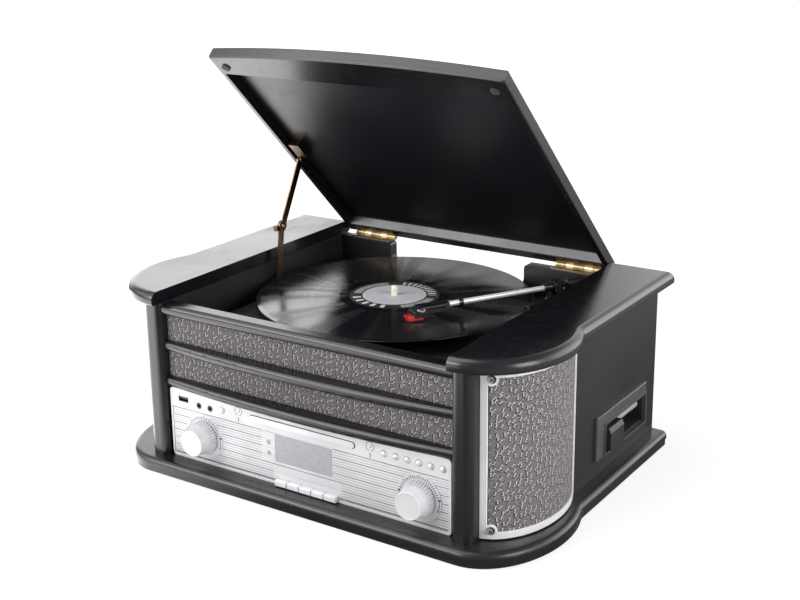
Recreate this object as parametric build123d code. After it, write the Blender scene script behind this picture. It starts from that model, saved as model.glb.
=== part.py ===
from build123d import *
from math import acos, cos, degrees, radians, sin, sqrt
import os

# Stereo music centre: a wooden cabinet with a record deck under a hinged lid, a control panel
# with a disc tray, side speakers behind cloth and a cassette slot in the right side.
# Millimetres. +X is the listener's right, +Y the back, +Z up.
# The origin is on the floor, in the middle of the base board.

# ---- Base, height and plan of the cabinet ----
BASE_WIDTH = 496.0
BASE_DEPTH = 362.0
BASE_THICKNESS = 15.0
BASE_STEP_HEIGHT = 7.0
BASE_STEP_SET_BACK = 0.9
BASE_EDGE_RADIUS = 6.0
BASE_BACK_CORNER = 8.0
BASE_FRONT_REACH = 22.0
FOOT_HEIGHT = 1.5
FOOT_RADIUS = 11.0
FOOT_INSET = 45.0
BULGE_DEPTH = 76.0
BASE_BULGE = 8.5
BASE_BULGE_INSET = 58.0
BULGE_BLEND = 22.0
CABINET_HEIGHT = 200.0
BOARD_THICKNESS = 14.0
BOARD_BULGE = 9.0
BOARD_BULGE_INSET = 68.0
BOARD_FRONT_REACH = 15.5
BOARD_BACK_INSET = 2.7
BOARD_TOP_RADIUS = 8.5
BOARD_BOTTOM_RADIUS = 3.0
SIDE_INSET = 17.4
WOOD_THICKNESS = 12.0
BACK_INSET = 6.5
BACK_THICKNESS = 13.0
WELL_WIDTH = 354.0
LEDGE_DROP = 1.0

# ---- Front: posts, rails and cloth ----
OPENING_WIDTH = 352.0
POST_WIDTH = 22.0
POST_REACH = 8.0
POST_RADIUS = 8.0
POST_BACK_DEPTH = 14.5
TOP_RAIL_HEIGHT = 12.0
TOP_RAIL_REACH = 3.0
BOWED_RAIL_HEIGHT = 10.5
BOWED_RAIL_REACH = 1.5
BOWED_RAIL_BOW = 10.0
MIDDLE_RAIL_Z = 133.75
NOSE_FLAT = 0.6
GRILLE_SET_BACK = 5.0
GRILLE_THICKNESS = 8.0

# ---- Speakers in the rounded corners ----
DRUM_CENTRE_INSET = 58.0
DRUM_CENTRE_DEPTH = 87.0
DRUM_RADIUS_X = 53.0
DRUM_RADIUS_Y = 80.0
DRUM_BACK_DEPTH = 134.0
FRAME_THICKNESS = 1.8
FRAME_BAR = 7.0
FRAME_END_GAP = 1.5
CLOTH_THICKNESS = 1.0
SKIN_GAP = 0.2
SHELL_THICKNESS = 6.0
LUG_RADIUS = 6.5
SCREW_INSET_X = 9.5
SCREW_INSET_Z = 8.4
SCREW_HEAD_RADIUS = 3.1
SCREW_HEAD_HEIGHT = 1.4
SCREW_RADIUS = 1.3
SCREW_LENGTH = 12.0
DRIVER_RADIUS = 35.5
DRIVER_SEAT_INSET = 24.0
DRIVER_BACK_GAP = 4.0
DRIVER_RIM = 3.5
DRIVER_CONE_EDGE = 7.0
DRIVER_MAGNET_STEP = 9.5
DRIVER_NECK_STEP = 15.5
DRIVER_Z = 101.0

# ---- Control panel ----
PANEL_WIDTH = 346.6
PANEL_THICKNESS = 2.6
PANEL_TOP = 94.0
PANEL_CORNER = 4.0
PANEL_GAP = 0.2
BAND_HEIGHT = 21.0
RECESS_DEPTH = 0.8
RECESS_MARGIN = 2.3
LINE_PITCH = 8.45
LINE_WIDTH = 0.8
LINE_DEPTH = 0.5
HOLE_GAP = 0.3
BOSS_INSET = 8.3
BOSS_INNER_XS = (-90.0, 80.0)
BOSS_HEIGHTS = (28.0, 68.0)
BOARD_GAP_DEPTH = 14.0
CIRCUIT_THICKNESS = 1.6
DIAL_RADIUS = 24.5
VOLUME_X = -128.5
TUNING_X = 138.0
KNOB_Z = 46.7
KNOB_REACH = 21.0
KNOB_FACE_RADIUS = 14.3
KNOB_BASE_RADIUS = 18.5
KNOB_FLUTE_DEPTH = 0.7
KNOB_FLUTES = 40
KNOB_FLUTE_LENGTH = 7.0
KNOB_GAP = 1.0
KNOB_DISH = 0.6
KNOB_LIP = 1.5
KNOB_TAPER = 1.6
KNOB_BORE_DEPTH = 10.0
SPINDLE_RADIUS = 3.0
RUNNING_GAP = 0.05
POT_RADIUS = 8.0
POT_BUSH_RADIUS = 5.0
POT_BUSH_DEPTH = 6.0
POT_BUSH_GAP = 1.0
SWITCH_DEPTH = 5.0
SWITCH_HALF = 3.0
BUTTON_RADIUS = 3.4
BUTTON_REACH = 2.2
BUTTON_Z = 82.5
BUTTON_FIRST_X = 98.9
BUTTON_PITCH = 13.1
BUTTON_COUNT = 6
BUTTON_TRAVEL = 1.2
FUNCTION_X = -102.0
KEY_COUNT = 5
KEY_PITCH = 15.3
KEY_WIDTH = 14.3
KEY_FIRST_X = -25.5
KEY_BOTTOM = 17.3
KEY_HEIGHT = 6.0
KEY_REACH = 4.6
WINDOW_X = 1.2
WINDOW_WIDTH = 70.5
WINDOW_Z = 56.4
WINDOW_HEIGHT = 28.8
LAMP_X = -42.6
LAMP_RADIUS = 2.0
LAMP_HEIGHTS = (60.4, 48.9)
USB_X = -155.0
USB_Z = 83.2
USB_WIDTH = 13.0
USB_HEIGHT = 5.4
USB_WALL = 0.4
USB_TONGUE = 1.8
USB_TONGUE_RISE = 0.2
JACK_XS = (-133.6, -118.5)
JACK_Z = 80.5
JACK_RADIUS = 3.2
JACK_BORE = 1.75
JACK_DEPTH = 12.0
JACK_BODY_WIDTH = 9.0
JACK_BODY_HEIGHT = 10.0

# ---- Disc tray ----
TRAY_FRONT_WIDTH = 129.4
TRAY_FRONT_HEIGHT = 6.2
TRAY_Z = 82.5
TRAY_REACH = 1.2
TRAY_WIDTH = 125.0
TRAY_THICKNESS = 4.0
TRAY_LENGTH = 136.0
TRAY_LIP = 3.2
TRAY_POCKET_START = 5.0
TRAY_HUB_HOLE = 18.0
TRAY_SLOT_WIDTH = 24.0
TRAY_SLOT_END = 8.0
DISC_POCKET_RADIUS = 60.5
DISC_POCKET_DEPTH = 2.2
LOADER_WALL = 8.5
LOADER_LENGTH = 144.0
LOADER_DROP = 16.0
LOADER_SHEET = 2.0
LOADER_LEDGE = 5.0
LOADER_LEG = 12.0
LOADER_START_GAP = 4.0
LOADER_HUB_RADIUS = 9.0

# ---- Cassette slot in the right side ----
BEZEL_BACK_GAP = 34.0
BEZEL_LENGTH = 122.0
BEZEL_BOTTOM = 34.0
BEZEL_HEIGHT = 48.0
BEZEL_THICKNESS = 3.2
BEZEL_RIM = 1.2
SLOT_START = 19.0
SLOT_LENGTH = 99.5
SLOT_LIFT = 3.2
SLOT_HEIGHT = 31.8
CASSETTE_WIDTH = 64.4
CASSETTE_LENGTH = 103.0
CASSETTE_SHELL = 1.5
CASSETTE_KEY_WIDTH = 32.0
CASSETTE_KEY_HEIGHT = 24.0
CASSETTE_KEY_REACH = 9.5
CASSETTE_KEY_TRAVEL = 4.0
CASSETTE_KEY_BEVEL = 5.0
CASSETTE_SHELF_RISE = 2.0
KEY_CHUTE_DEPTH = 28.0
ROLLER_RADIUS = 3.4
ROLLER_DROP = 7.0
ROLLER_SET_BACK = 14.0
UNIT_LEG = 12.0

# ---- Record deck; the record and the arm's pivot are set ahead of the rear panel ----
DECK_TOP = 152.0
DECK_THICKNESS = 3.0
RECORD_X = -15.0
RECORD_DEPTH = 128.5
RECORD_RADIUS = 150.8
RECORD_THICKNESS = 2.0
RECORD_TOP = 169.5
LABEL_RADIUS = 50.0
PLATTER_RADIUS = 95.0
PLATTER_THICKNESS = 6.0
PLATTER_HUB_RADIUS = 70.0
PLATTER_HUB_WALL = 5.0
MAT_THICKNESS = 1.5
CENTRE_PIN_RADIUS = 3.6
CENTRE_PIN_TOP = 180.4
SHAFT_RADIUS = 4.0
BEARING_LENGTH = 11.0
PULLEY_RADIUS = 6.0
PULLEY_DISTANCE = 90.0
PULLEY_ANGLE = 215.0
BELT_THICKNESS = 0.8
BELT_GAP = 0.3
MOTOR_RADIUS = 16.0
MOTOR_HEIGHT = 24.0
MOTOR_SHAFT = 1.5
MOTOR_END = 3.0
MOTOR_HOLE = 5.0
HUB_GAP = 1.5
BELT_INSET = 1.0
SWITCH_SLOT_WIDTH = 4.4
SWITCH_SLOT_LENGTH = 16.0
SWITCH_INSET = 12.0
SWITCH_DEPTH_BACK = 30.0
NOTCH_WIDTH = 3.3
NOTCH_AHEAD = 103.8
NOTCH_BEHIND = 24.2
REAR_NOTCH_GAP = 11.1
REAR_NOTCH_FLOOR = 160.0
REAR_NOTCH_RADIUS = 4.5

# ---- Tone arm ----
ARM_X = 140.0
ARM_DEPTH = 42.5
ARM_Z = 182.0
ARM_TURN = 239.45
ARM_BASE_RADIUS = 14.0
ARM_BASE_HEIGHT = 16.5
ARM_TUBE_RADIUS = 2.8
ARM_TUBE_END = 135.0
ARM_COLLAR_LENGTH = 12.0
ARM_BLOCK_LENGTH = 14.0
ARM_BLOCK_WIDTH = 15.0
ARM_BLOCK_HEIGHT = 10.0
YOKE_EAR = 3.0
YOKE_EAR_LENGTH = 9.0
YOKE_CHEEK_GAP = 0.4
YOKE_RISE = 5.5
WEIGHT_RADIUS = 5.5
WEIGHT_LENGTH = 24.0
HEADSHELL_LENGTH = 44.0
HEADSHELL_WIDTH = 15.0
HEADSHELL_DROP = 5.0
HEADSHELL_HEIGHT = 8.0
CARTRIDGE_LENGTH = 19.0
CARTRIDGE_WIDTH = 11.5
STYLUS_REACH = 181.0
STYLUS_GAP = 0.6
REST_DEPTH = 64.0
REST_RADIUS = 3.0
REST_HEAD_RADIUS = 5.0
REST_HEAD_HEIGHT = 3.0
ARM_PIN_RADIUS = 1.5
ARM_PIN_END_GAP = 0.3
YOKE_DISC_INSET = 1.5
YOKE_DISC_HEIGHT = 3.0
ARM_COLLAR_STEP = 1.6
HEADSHELL_NOSE_DROP = 4.0
HEADSHELL_NOSE_LENGTH = 9.0
HEADSHELL_HEEL_LENGTH = 9.0
HEADSHELL_HEEL_CUT = 4.5
FINGER_LIFT_RADIUS = 0.8
FINGER_LIFT_SET_BACK = 12.0
FINGER_LIFT_ROOT = 1.0
FINGER_LIFT_BEND = (-8.0, 7.0, 1.0)
FINGER_LIFT_TIP = (1.0, 10.0, 5.0)

# ---- Lid, hinges and stay ----
LID_OPEN = 44.4
LID_WIDTH = 350.0
LID_THICKNESS = 13.4
LID_REST_GAP = 0.5
LID_BACK_GAP = 2.5
LID_FRONT_REACH = 10.3
LID_BOW = 10.4
LID_SIDE_RIM = 6.0
LID_BACK_RIM = 14.0
LID_FRONT_RIM = 27.3
LID_PANEL_THICKNESS = 2.5
LID_REBATE = 3.0
LID_EDGE_RADIUS = 2.0
BUMPER_RADIUS = 4.7
BUMPER_SET_BACK = 5.0
BUMPER_X = 160.0
HINGE_BACK = 3.0
HINGE_RISE = 0.9
HINGE_CENTRE_X = 136.5
HINGE_LENGTH = 57.0
HINGE_BARREL = 2.6
HINGE_PIN = 1.2
HINGE_LEAF = 1.3
HINGE_LEAF_WIDTH = 15.0
KNUCKLE_COUNT = 5
KNUCKLE_GAP = 0.25
STAY_PIVOT_REACH = 154.8
STAY_PIVOT_RISE = 2.7
STAY_PLATE = 1.5
STAY_GAP = 0.3
STAY_WIDTH = 9.0
STAY_BRACKET_LENGTH = 40.0
STAY_ELBOW_SET_BACK = 9.7
STAY_ELBOW_Z = 226.7
STAY_FOOT_DEPTH = 181.8
STAY_FOOT_Z = 146.0
STAY_RIVET = 3.4
STAY_RIVET_HEAD = 1.0
STAY_SCREW_NECK = 2.0
STAY_EYE = 6.5
STAY_TAB_REACH = 3.5
STAY_TAB_START = 9.0
STAY_TAB_END = 4.0
STAY_TAB_DROP = 5.0
STAY_TAB_RISE = 1.0
STOP_WIDTH = 13.6
STOP_LENGTH = 24.0
STOP_HEIGHT = 9.5
STOP_GAP = 3.0

# ---- Power and connections ----
TERMINAL_WIDTH = 100.0
TERMINAL_HEIGHT = 40.0
TERMINAL_THICKNESS = 1.5
TERMINAL_INSET = 138.0
TERMINAL_LIP_X = 6.0
TERMINAL_LIP_Z = 5.0
TERMINAL_Z = 62.0
PHONO_RADIUS = 4.15
PHONO_LENGTH = 8.0
PHONO_PITCH = 16.0
PHONO_OFFSET = 25.0
PHONO_BODY_WALL = 2.0
GLAND_OFFSET = 28.0
GLAND_REACH = 3.0
GLAND_TAIL = 6.0
GLAND_RADIUS = 7.0
GLAND_BORE = 3.3
TRANSFORMER_WIDTH = 48.0
TRANSFORMER_LENGTH = 40.0
TRANSFORMER_HEIGHT = 42.0
TRANSFORMER_WALL_GAP = 40.0
TRANSFORMER_DEPTH = 90.0
COIL_INSET = 9.0
COIL_OVERHANG = 7.0
COIL_YOKE = 4.0

# ---- Places worked out from the sizes above ----
BASE_TOP = FOOT_HEIGHT + BASE_THICKNESS
BOARD_BOTTOM = CABINET_HEIGHT - BOARD_THICKNESS
LEDGE_Z = BOARD_BOTTOM - LEDGE_DROP
FRONT_Y = BASE_FRONT_REACH - BASE_DEPTH / 2
BACK_Y = BASE_DEPTH / 2
BULGE_Y = FRONT_Y + BULGE_DEPTH
BASE_BULGE_CENTRE = BASE_WIDTH / 2 - BASE_BULGE_INSET
BOARD_BULGE_CENTRE = BASE_WIDTH / 2 - BOARD_BULGE_INSET
DRUM_CENTRE_X = BASE_WIDTH / 2 - DRUM_CENTRE_INSET
SIDE_X = BASE_WIDTH / 2 - SIDE_INSET
SIDE_INNER_X = SIDE_X - WOOD_THICKNESS
WELL_X = WELL_WIDTH / 2
OPENING_X = OPENING_WIDTH / 2
POST_X = OPENING_X + POST_WIDTH
POST_BACK_Y = FRONT_Y + POST_BACK_DEPTH
REAR_Y = BACK_Y - BACK_INSET
REAR_FRONT_Y = REAR_Y - BACK_THICKNESS
DRUM_Y = FRONT_Y + DRUM_CENTRE_DEPTH
DRUM_BACK_Y = FRONT_Y + DRUM_BACK_DEPTH
DRIVER_SEAT_X = BASE_WIDTH / 2 - DRIVER_SEAT_INSET
DRIVER_BACK_X = WELL_X + WOOD_THICKNESS + DRIVER_BACK_GAP
BEZEL_Y = BACK_Y - BEZEL_BACK_GAP - BEZEL_LENGTH
SWITCH_Y = FRONT_Y + BOARD_GAP_DEPTH - SWITCH_DEPTH
TOP_RAIL_Z = LEDGE_Z - TOP_RAIL_HEIGHT
RAIL_BACK_Y = FRONT_Y + GRILLE_SET_BACK + GRILLE_THICKNESS
CIRCUIT_Y = FRONT_Y + BOARD_GAP_DEPTH
RECORD_Y = REAR_FRONT_Y - RECORD_DEPTH
PLATTER_TOP = RECORD_TOP - RECORD_THICKNESS - MAT_THICKNESS
DECK_BOTTOM = DECK_TOP - DECK_THICKNESS
ARM_Y = REAR_FRONT_Y - ARM_DEPTH
HINGE_Y = REAR_Y + HINGE_BACK + 0.5
HINGE_Z = BOARD_BOTTOM + HINGE_RISE
LID_BOTTOM = BOARD_BOTTOM + LID_REST_GAP
LID_TOP = LID_BOTTOM + LID_THICKNESS
LID_HALF = LID_WIDTH / 2
LID_CORNER_Y = FRONT_Y - LID_FRONT_REACH
STAY_RIM_X = -(LID_HALF - LID_SIDE_RIM)
STAY_UPPER_X = STAY_RIM_X + STAY_PLATE + STAY_GAP
STAY_FOOT_Y = FRONT_Y + STAY_FOOT_DEPTH
NOTCH_Y = (STAY_FOOT_Y - NOTCH_AHEAD, STAY_FOOT_Y + NOTCH_BEHIND)
TERMINAL_X = TERMINAL_INSET - BASE_WIDTH / 2


# ---- Shared ways of making a solid ----
def block(x_span, y_span, z_span):
    """Box between two limits along each axis."""
    size = [high - low for low, high in (x_span, y_span, z_span)]
    middle = [(high + low) / 2 for low, high in (x_span, y_span, z_span)]
    return Pos(*middle) * Box(*size)


def around(middle, half):
    """Span of a given half-length about a middle."""
    return middle - half, middle + half


def rod_x(y, z, span, radius):
    """Round bar along X between two limits."""
    return Pos(sum(span) / 2, y, z) * Rot(0, 90, 0) * Cylinder(radius, span[1] - span[0])


def rod_y(x, z, span, radius):
    """Round bar along Y between two limits."""
    return Pos(x, sum(span) / 2, z) * Rot(90, 0, 0) * Cylinder(radius, span[1] - span[0])


def rod_z(x, y, span, radius):
    """Round bar along Z between two limits."""
    return Pos(x, y, sum(span) / 2) * Cylinder(radius, span[1] - span[0])


def both_sides(piece):
    """A piece on the right and its mirror image on the left, as two solids."""
    return Compound(children=[piece, mirror(piece, about=Plane.YZ)])


def raised(sketch, bottom, top):
    """A flat outline on the XY plane made solid between two heights."""
    return Pos(0, 0, bottom) * extrude(sketch, amount=top - bottom)


# ---- Cabinet ----
def bulged_outline(half_width, centre_x, radius_x, radius_y, back_y, back_corner):
    """Plan of a board with a rounded bulge at each front corner."""
    front_y = BULGE_Y - radius_y
    middle = Pos(0, (BULGE_Y + back_y) / 2) * Rectangle(2 * half_width, back_y - BULGE_Y)
    front = Pos(0, (front_y + BULGE_Y) / 2) * Rectangle(2 * centre_x, BULGE_Y - front_y)
    outline = middle + front
    for side in (-1, 1):
        outline += Pos(side * centre_x, BULGE_Y) * Ellipse(radius_x, radius_y)
    behind = [v for v in outline.vertices() if v.Y > back_y - 1]
    outline = fillet(behind, back_corner)
    ahead = [v for v in outline.vertices() if v.Y < back_y - 2 * back_corner]
    waist = [v for v in ahead if abs(abs(v.X) - half_width) < 0.1]
    return fillet(waist, BULGE_BLEND)


def base_outline(set_back=0.0):
    """Plan of the base board, drawn in from its edge by a small set-back."""
    return bulged_outline(
        BASE_WIDTH / 2 - set_back,
        BASE_BULGE_CENTRE,
        BASE_WIDTH / 2 + BASE_BULGE - BASE_BULGE_CENTRE - set_back,
        BULGE_DEPTH + BASE_FRONT_REACH - set_back,
        BACK_Y - set_back,
        BASE_BACK_CORNER,
    )


def plinth():
    """Base board: a plain lower step under a layer with a rounded top edge."""
    step_top = FOOT_HEIGHT + BASE_STEP_HEIGHT
    lower = raised(base_outline(BASE_STEP_SET_BACK), FOOT_HEIGHT, step_top)
    upper = raised(base_outline(), step_top, BASE_TOP)
    top_edges = upper.faces().sort_by(Axis.Z)[-1].outer_wire().edges()
    return lower + fillet(top_edges, BASE_EDGE_RADIUS)


def rubber_feet():
    """Four flat rubber discs under the base."""
    reach_x = BASE_WIDTH / 2 - FOOT_INSET
    reach_y = BASE_DEPTH / 2 - FOOT_INSET
    spots = [(x, y) for x in (-reach_x, reach_x) for y in (-reach_y, reach_y)]
    return Compound(children=[rod_z(x, y, (0, FOOT_HEIGHT), FOOT_RADIUS) for x, y in spots])


def side_panel_left():
    """Plain left side, from the speaker drum back to the rear edge."""
    return block((-SIDE_X, -SIDE_INNER_X), (DRUM_BACK_Y, REAR_Y), (BASE_TOP, BOARD_BOTTOM))


def cassette_spans():
    """Outer limits of the cassette unit along Y and Z."""
    start = BEZEL_Y + SLOT_START
    bottom = BEZEL_BOTTOM + SLOT_LIFT
    return (start, start + SLOT_LENGTH), (bottom, bottom + SLOT_HEIGHT)


def grown(span, margin):
    """A span made longer at both ends by a margin."""
    return span[0] - margin, span[1] + margin


def cassette_hole(x_span):
    """Straight hole that clears the cassette unit."""
    y_span, z_span = cassette_spans()
    margin = CASSETTE_SHELL + HOLE_GAP
    return block(x_span, grown(y_span, margin), grown(z_span, margin))


def side_panel_right():
    """Right side with the hole for the cassette unit."""
    panel = block((SIDE_INNER_X, SIDE_X), (DRUM_BACK_Y, REAR_Y), (BASE_TOP, BOARD_BOTTOM))
    return panel - cassette_hole((SIDE_INNER_X - 1, SIDE_X + 1))


def deck_cleat(x_span, y_span):
    """Ledge strip that carries the deck plate."""
    return block(x_span, y_span, (DECK_BOTTOM - WOOD_THICKNESS, DECK_BOTTOM))


def well_walls():
    """Inner walls of the record well, each with cleats under the deck plate."""
    y_span = (POST_BACK_Y, REAR_FRONT_Y)
    z_span = (BASE_TOP, BOARD_BOTTOM)
    right = block((WELL_X, WELL_X + WOOD_THICKNESS), y_span, z_span)
    right -= cassette_hole((WELL_X - 1, WELL_X + WOOD_THICKNESS + 1))
    right += deck_cleat((WELL_X - WOOD_THICKNESS, WELL_X), y_span)
    left = block((-WELL_X - WOOD_THICKNESS, -WELL_X), y_span, z_span)
    left += deck_cleat((-WELL_X, WOOD_THICKNESS - WELL_X), (POST_BACK_Y, NOTCH_Y[0]))
    left += deck_cleat((-WELL_X, WOOD_THICKNESS - WELL_X), (NOTCH_Y[1], REAR_FRONT_Y))
    screw_hole = rod_x(STAY_FOOT_Y, STAY_FOOT_Z, (-WELL_X - SCREW_LENGTH + 1, -WELL_X), SCREW_RADIUS)
    return Compound(children=[right, left - screw_hole])


def rear_notch():
    """Cut-out in the rear panel that the record's edge reaches through."""
    reach = sqrt(RECORD_RADIUS ** 2 - (REAR_FRONT_Y - RECORD_Y) ** 2) + REAR_NOTCH_GAP
    left, right = RECORD_X - reach, RECORD_X + reach
    shape = block((left, right), (REAR_FRONT_Y - 1, REAR_Y + 1), (REAR_NOTCH_FLOOR, LEDGE_Z + 5))
    lower = shape.edges().filter_by(Axis.Y).group_by(Axis.Z)[0]
    shape = fillet(lower, 2 * REAR_NOTCH_RADIUS)
    brow = block((left - REAR_NOTCH_RADIUS, right + REAR_NOTCH_RADIUS), (REAR_FRONT_Y - 1, REAR_Y + 1),
                 (LEDGE_Z - REAR_NOTCH_RADIUS, LEDGE_Z + 5))
    for x in (left - REAR_NOTCH_RADIUS, right + REAR_NOTCH_RADIUS):
        span = (REAR_FRONT_Y - 2, REAR_Y + 2)
        brow -= rod_y(x, LEDGE_Z - REAR_NOTCH_RADIUS, span, REAR_NOTCH_RADIUS)
    return shape + brow


def rear_panel():
    """Back of the cabinet, lower behind the lid, with openings for the record and terminals."""
    panel = block((-SIDE_INNER_X, SIDE_INNER_X), (REAR_FRONT_Y, REAR_Y), (BASE_TOP, BOARD_BOTTOM))
    panel -= block((-WELL_X, WELL_X), (REAR_FRONT_Y - 1, REAR_Y + 1), (LEDGE_Z, BOARD_BOTTOM + 1))
    panel -= rear_notch()
    half_width = TERMINAL_WIDTH / 2 - TERMINAL_LIP_X
    half_height = TERMINAL_HEIGHT / 2 - TERMINAL_LIP_Z
    panel -= block((TERMINAL_X - half_width, TERMINAL_X + half_width), (REAR_FRONT_Y - 1, REAR_Y + 1),
                   (TERMINAL_Z - half_height, TERMINAL_Z + half_height))
    return panel


def front_posts():
    """Square posts with rounded front corners beside the front opening."""
    post = block((OPENING_X, POST_X), (FRONT_Y - POST_REACH, POST_BACK_Y), (BASE_TOP, BOARD_BOTTOM))
    corners = post.edges().filter_by(Axis.Z).group_by(Axis.Y)[0]
    return both_sides(fillet(corners, POST_RADIUS))


def bowed_rail(bottom):
    """Rail between the posts whose half-round nose bows forward in plan."""
    end_y = FRONT_Y - BOWED_RAIL_REACH
    nose_y = end_y - BOWED_RAIL_BOW
    line = Line((OPENING_X, RAIL_BACK_Y), (-OPENING_X, RAIL_BACK_Y))
    line += Line((-OPENING_X, RAIL_BACK_Y), (-OPENING_X, end_y))
    line += ThreePointArc((-OPENING_X, end_y), (0, nose_y), (OPENING_X, end_y))
    line += Line((OPENING_X, end_y), (OPENING_X, RAIL_BACK_Y))
    rail = raised(make_face(line), bottom, bottom + BOWED_RAIL_HEIGHT)
    nose = [e for e in rail.edges() if e.geom_type == GeomType.CIRCLE]
    return fillet(nose, BOWED_RAIL_HEIGHT / 2 - NOSE_FLAT)


def front_rails():
    """Three mouldings across the front: a straight top one and two bowed ones."""
    top = block((-OPENING_X, OPENING_X), (FRONT_Y - TOP_RAIL_REACH, POST_BACK_Y), (TOP_RAIL_Z, LEDGE_Z))
    nose = top.edges().filter_by(Axis.X).group_by(Axis.Y)[0]
    top = fillet(nose, TOP_RAIL_HEIGHT / 2 - NOSE_FLAT)
    return Compound(children=[top, bowed_rail(MIDDLE_RAIL_Z), bowed_rail(PANEL_TOP)])


def grille_panels():
    """Cloth-covered boards between the rails."""
    y_span = (FRONT_Y + GRILLE_SET_BACK, RAIL_BACK_Y)
    x_span = (-OPENING_X, OPENING_X)
    upper = block(x_span, y_span, (MIDDLE_RAIL_Z + BOWED_RAIL_HEIGHT, TOP_RAIL_Z))
    lower = block(x_span, y_span, (PANEL_TOP + BOWED_RAIL_HEIGHT, MIDDLE_RAIL_Z))
    return Compound(children=[upper, lower])


def top_boards():
    """Boards left and right of the lid, with a bulge over each speaker."""
    outline = bulged_outline(
        BASE_WIDTH / 2,
        BOARD_BULGE_CENTRE,
        BASE_WIDTH / 2 + BOARD_BULGE - BOARD_BULGE_CENTRE,
        BULGE_DEPTH + BOARD_FRONT_REACH,
        BACK_Y - BOARD_BACK_INSET,
        BOARD_BOTTOM_RADIUS,
    )
    board = raised(outline, BOARD_BOTTOM, CABINET_HEIGHT)
    board -= block((-BASE_WIDTH, WELL_X), (-BASE_DEPTH, BASE_DEPTH), (0, CABINET_HEIGHT + 1))
    outer_top = [e for e in board.faces().sort_by(Axis.Z)[-1].edges() if e.center().X > WELL_X + 0.1]
    board = fillet(outer_top, BOARD_TOP_RADIUS)
    outer_low = [e for e in board.faces().sort_by(Axis.Z)[0].edges() if e.center().X > WELL_X + 0.1]
    return both_sides(fillet(outer_low, BOARD_BOTTOM_RADIUS))


# ---- Speakers ----
def drum_ring(outer_inset, thickness, z_span):
    """Curved wall round the right front corner, between the post and the side panel."""
    outer = Ellipse(DRUM_RADIUS_X - outer_inset, DRUM_RADIUS_Y - outer_inset)
    inner = Ellipse(DRUM_RADIUS_X - outer_inset - thickness, DRUM_RADIUS_Y - outer_inset - thickness)
    ring = raised(Pos(DRUM_CENTRE_X, DRUM_Y) * (outer - inner), *z_span)
    return ring & block((POST_X, BASE_WIDTH), (FRONT_Y - POST_REACH, DRUM_BACK_Y), z_span)


def drum_screw_planes():
    """Seats of the two frame screws, square to the drum's curve beside the post."""
    across = POST_X + SCREW_INSET_X - DRUM_CENTRE_X
    along = -DRUM_RADIUS_Y * sqrt(1 - (across / DRUM_RADIUS_X) ** 2)
    outward = Vector(across / DRUM_RADIUS_X ** 2, along / DRUM_RADIUS_Y ** 2, 0).normalized()
    low, high = frame_heights()
    heights = (low + SCREW_INSET_Z, high - SCREW_INSET_Z)
    spots = [Vector(DRUM_CENTRE_X + across, DRUM_Y + along, z) for z in heights]
    return [Plane(origin=spot, z_dir=outward) for spot in spots]


def frame_heights():
    """Bottom and top of the speaker frame."""
    return BASE_TOP + FRAME_END_GAP, BOARD_BOTTOM - FRAME_END_GAP


def screw_holes(radius):
    """Straight holes for the frame screws."""
    holes = [plane * Cylinder(radius, 2 * SCREW_LENGTH) for plane in drum_screw_planes()]
    return holes[0] + holes[1]


def speaker_frames():
    """Silver bezels with a round lug at each screw."""
    low, high = frame_heights()
    frame = drum_ring(0, FRAME_THICKNESS, (low, high))
    window = block((POST_X + FRAME_BAR, BASE_WIDTH), (FRONT_Y - POST_REACH, DRUM_BACK_Y - FRAME_BAR),
                   (low + FRAME_BAR, high - FRAME_BAR))
    for plane in drum_screw_planes():
        window -= plane * Cylinder(LUG_RADIUS, 3 * FRAME_THICKNESS)
    return both_sides(frame - window - screw_holes(SCREW_RADIUS + HOLE_GAP))


def speaker_cloths():
    """Cloth skins stretched behind the frames."""
    cloth = drum_ring(FRAME_THICKNESS + SKIN_GAP, CLOTH_THICKNESS, frame_heights())
    return both_sides(cloth - screw_holes(SCREW_RADIUS + HOLE_GAP))


def speaker_shells():
    """Curved boards that carry the cloth, each with a round seat for its driver."""
    inset = FRAME_THICKNESS + CLOTH_THICKNESS + 2 * SKIN_GAP
    z_span = (BASE_TOP, BOARD_BOTTOM)
    shell = drum_ring(inset, SHELL_THICKNESS, z_span)
    core = Ellipse(DRUM_RADIUS_X - inset - 1, DRUM_RADIUS_Y - inset - 1)
    core = raised(Pos(DRUM_CENTRE_X, DRUM_Y) * core, *z_span)
    seat = rod_x(DRUM_Y, DRIVER_Z, (DRIVER_SEAT_X, BASE_WIDTH / 2), DRIVER_RADIUS) & core
    mouth = rod_x(DRUM_Y, DRIVER_Z, (DRIVER_SEAT_X - 1, BASE_WIDTH / 2 + 5), DRIVER_RADIUS - 5)
    return both_sides(shell + seat - mouth - screw_holes(SCREW_RADIUS))


def speaker_drivers():
    """Small full-range drivers: basket, magnet and hollow paper cone."""
    front = DRIVER_SEAT_X - SKIN_GAP
    depth = front - DRIVER_BACK_X
    flange_x = front - depth / 15
    magnet_x = DRIVER_BACK_X + depth * 0.39
    cone_x = DRIVER_BACK_X + depth * 0.42
    magnet = DRIVER_RADIUS - DRIVER_MAGNET_STEP
    edge = DRIVER_RADIUS - DRIVER_CONE_EDGE
    profile = Polyline(
        (front, DRIVER_RADIUS), (flange_x, DRIVER_RADIUS), (flange_x, DRIVER_RADIUS - DRIVER_RIM),
        (magnet_x, DRIVER_RADIUS - DRIVER_NECK_STEP), (magnet_x, magnet), (DRIVER_BACK_X, magnet),
        (DRIVER_BACK_X, 0), (cone_x, 0), (cone_x, magnet / 3), (front - depth / 20, edge),
        (front, edge + DRIVER_RIM / 2), close=True,
    )
    driver = revolve(make_face(profile), Axis.X, 360)
    return both_sides(Pos(0, DRUM_Y, DRIVER_Z) * driver)


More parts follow.
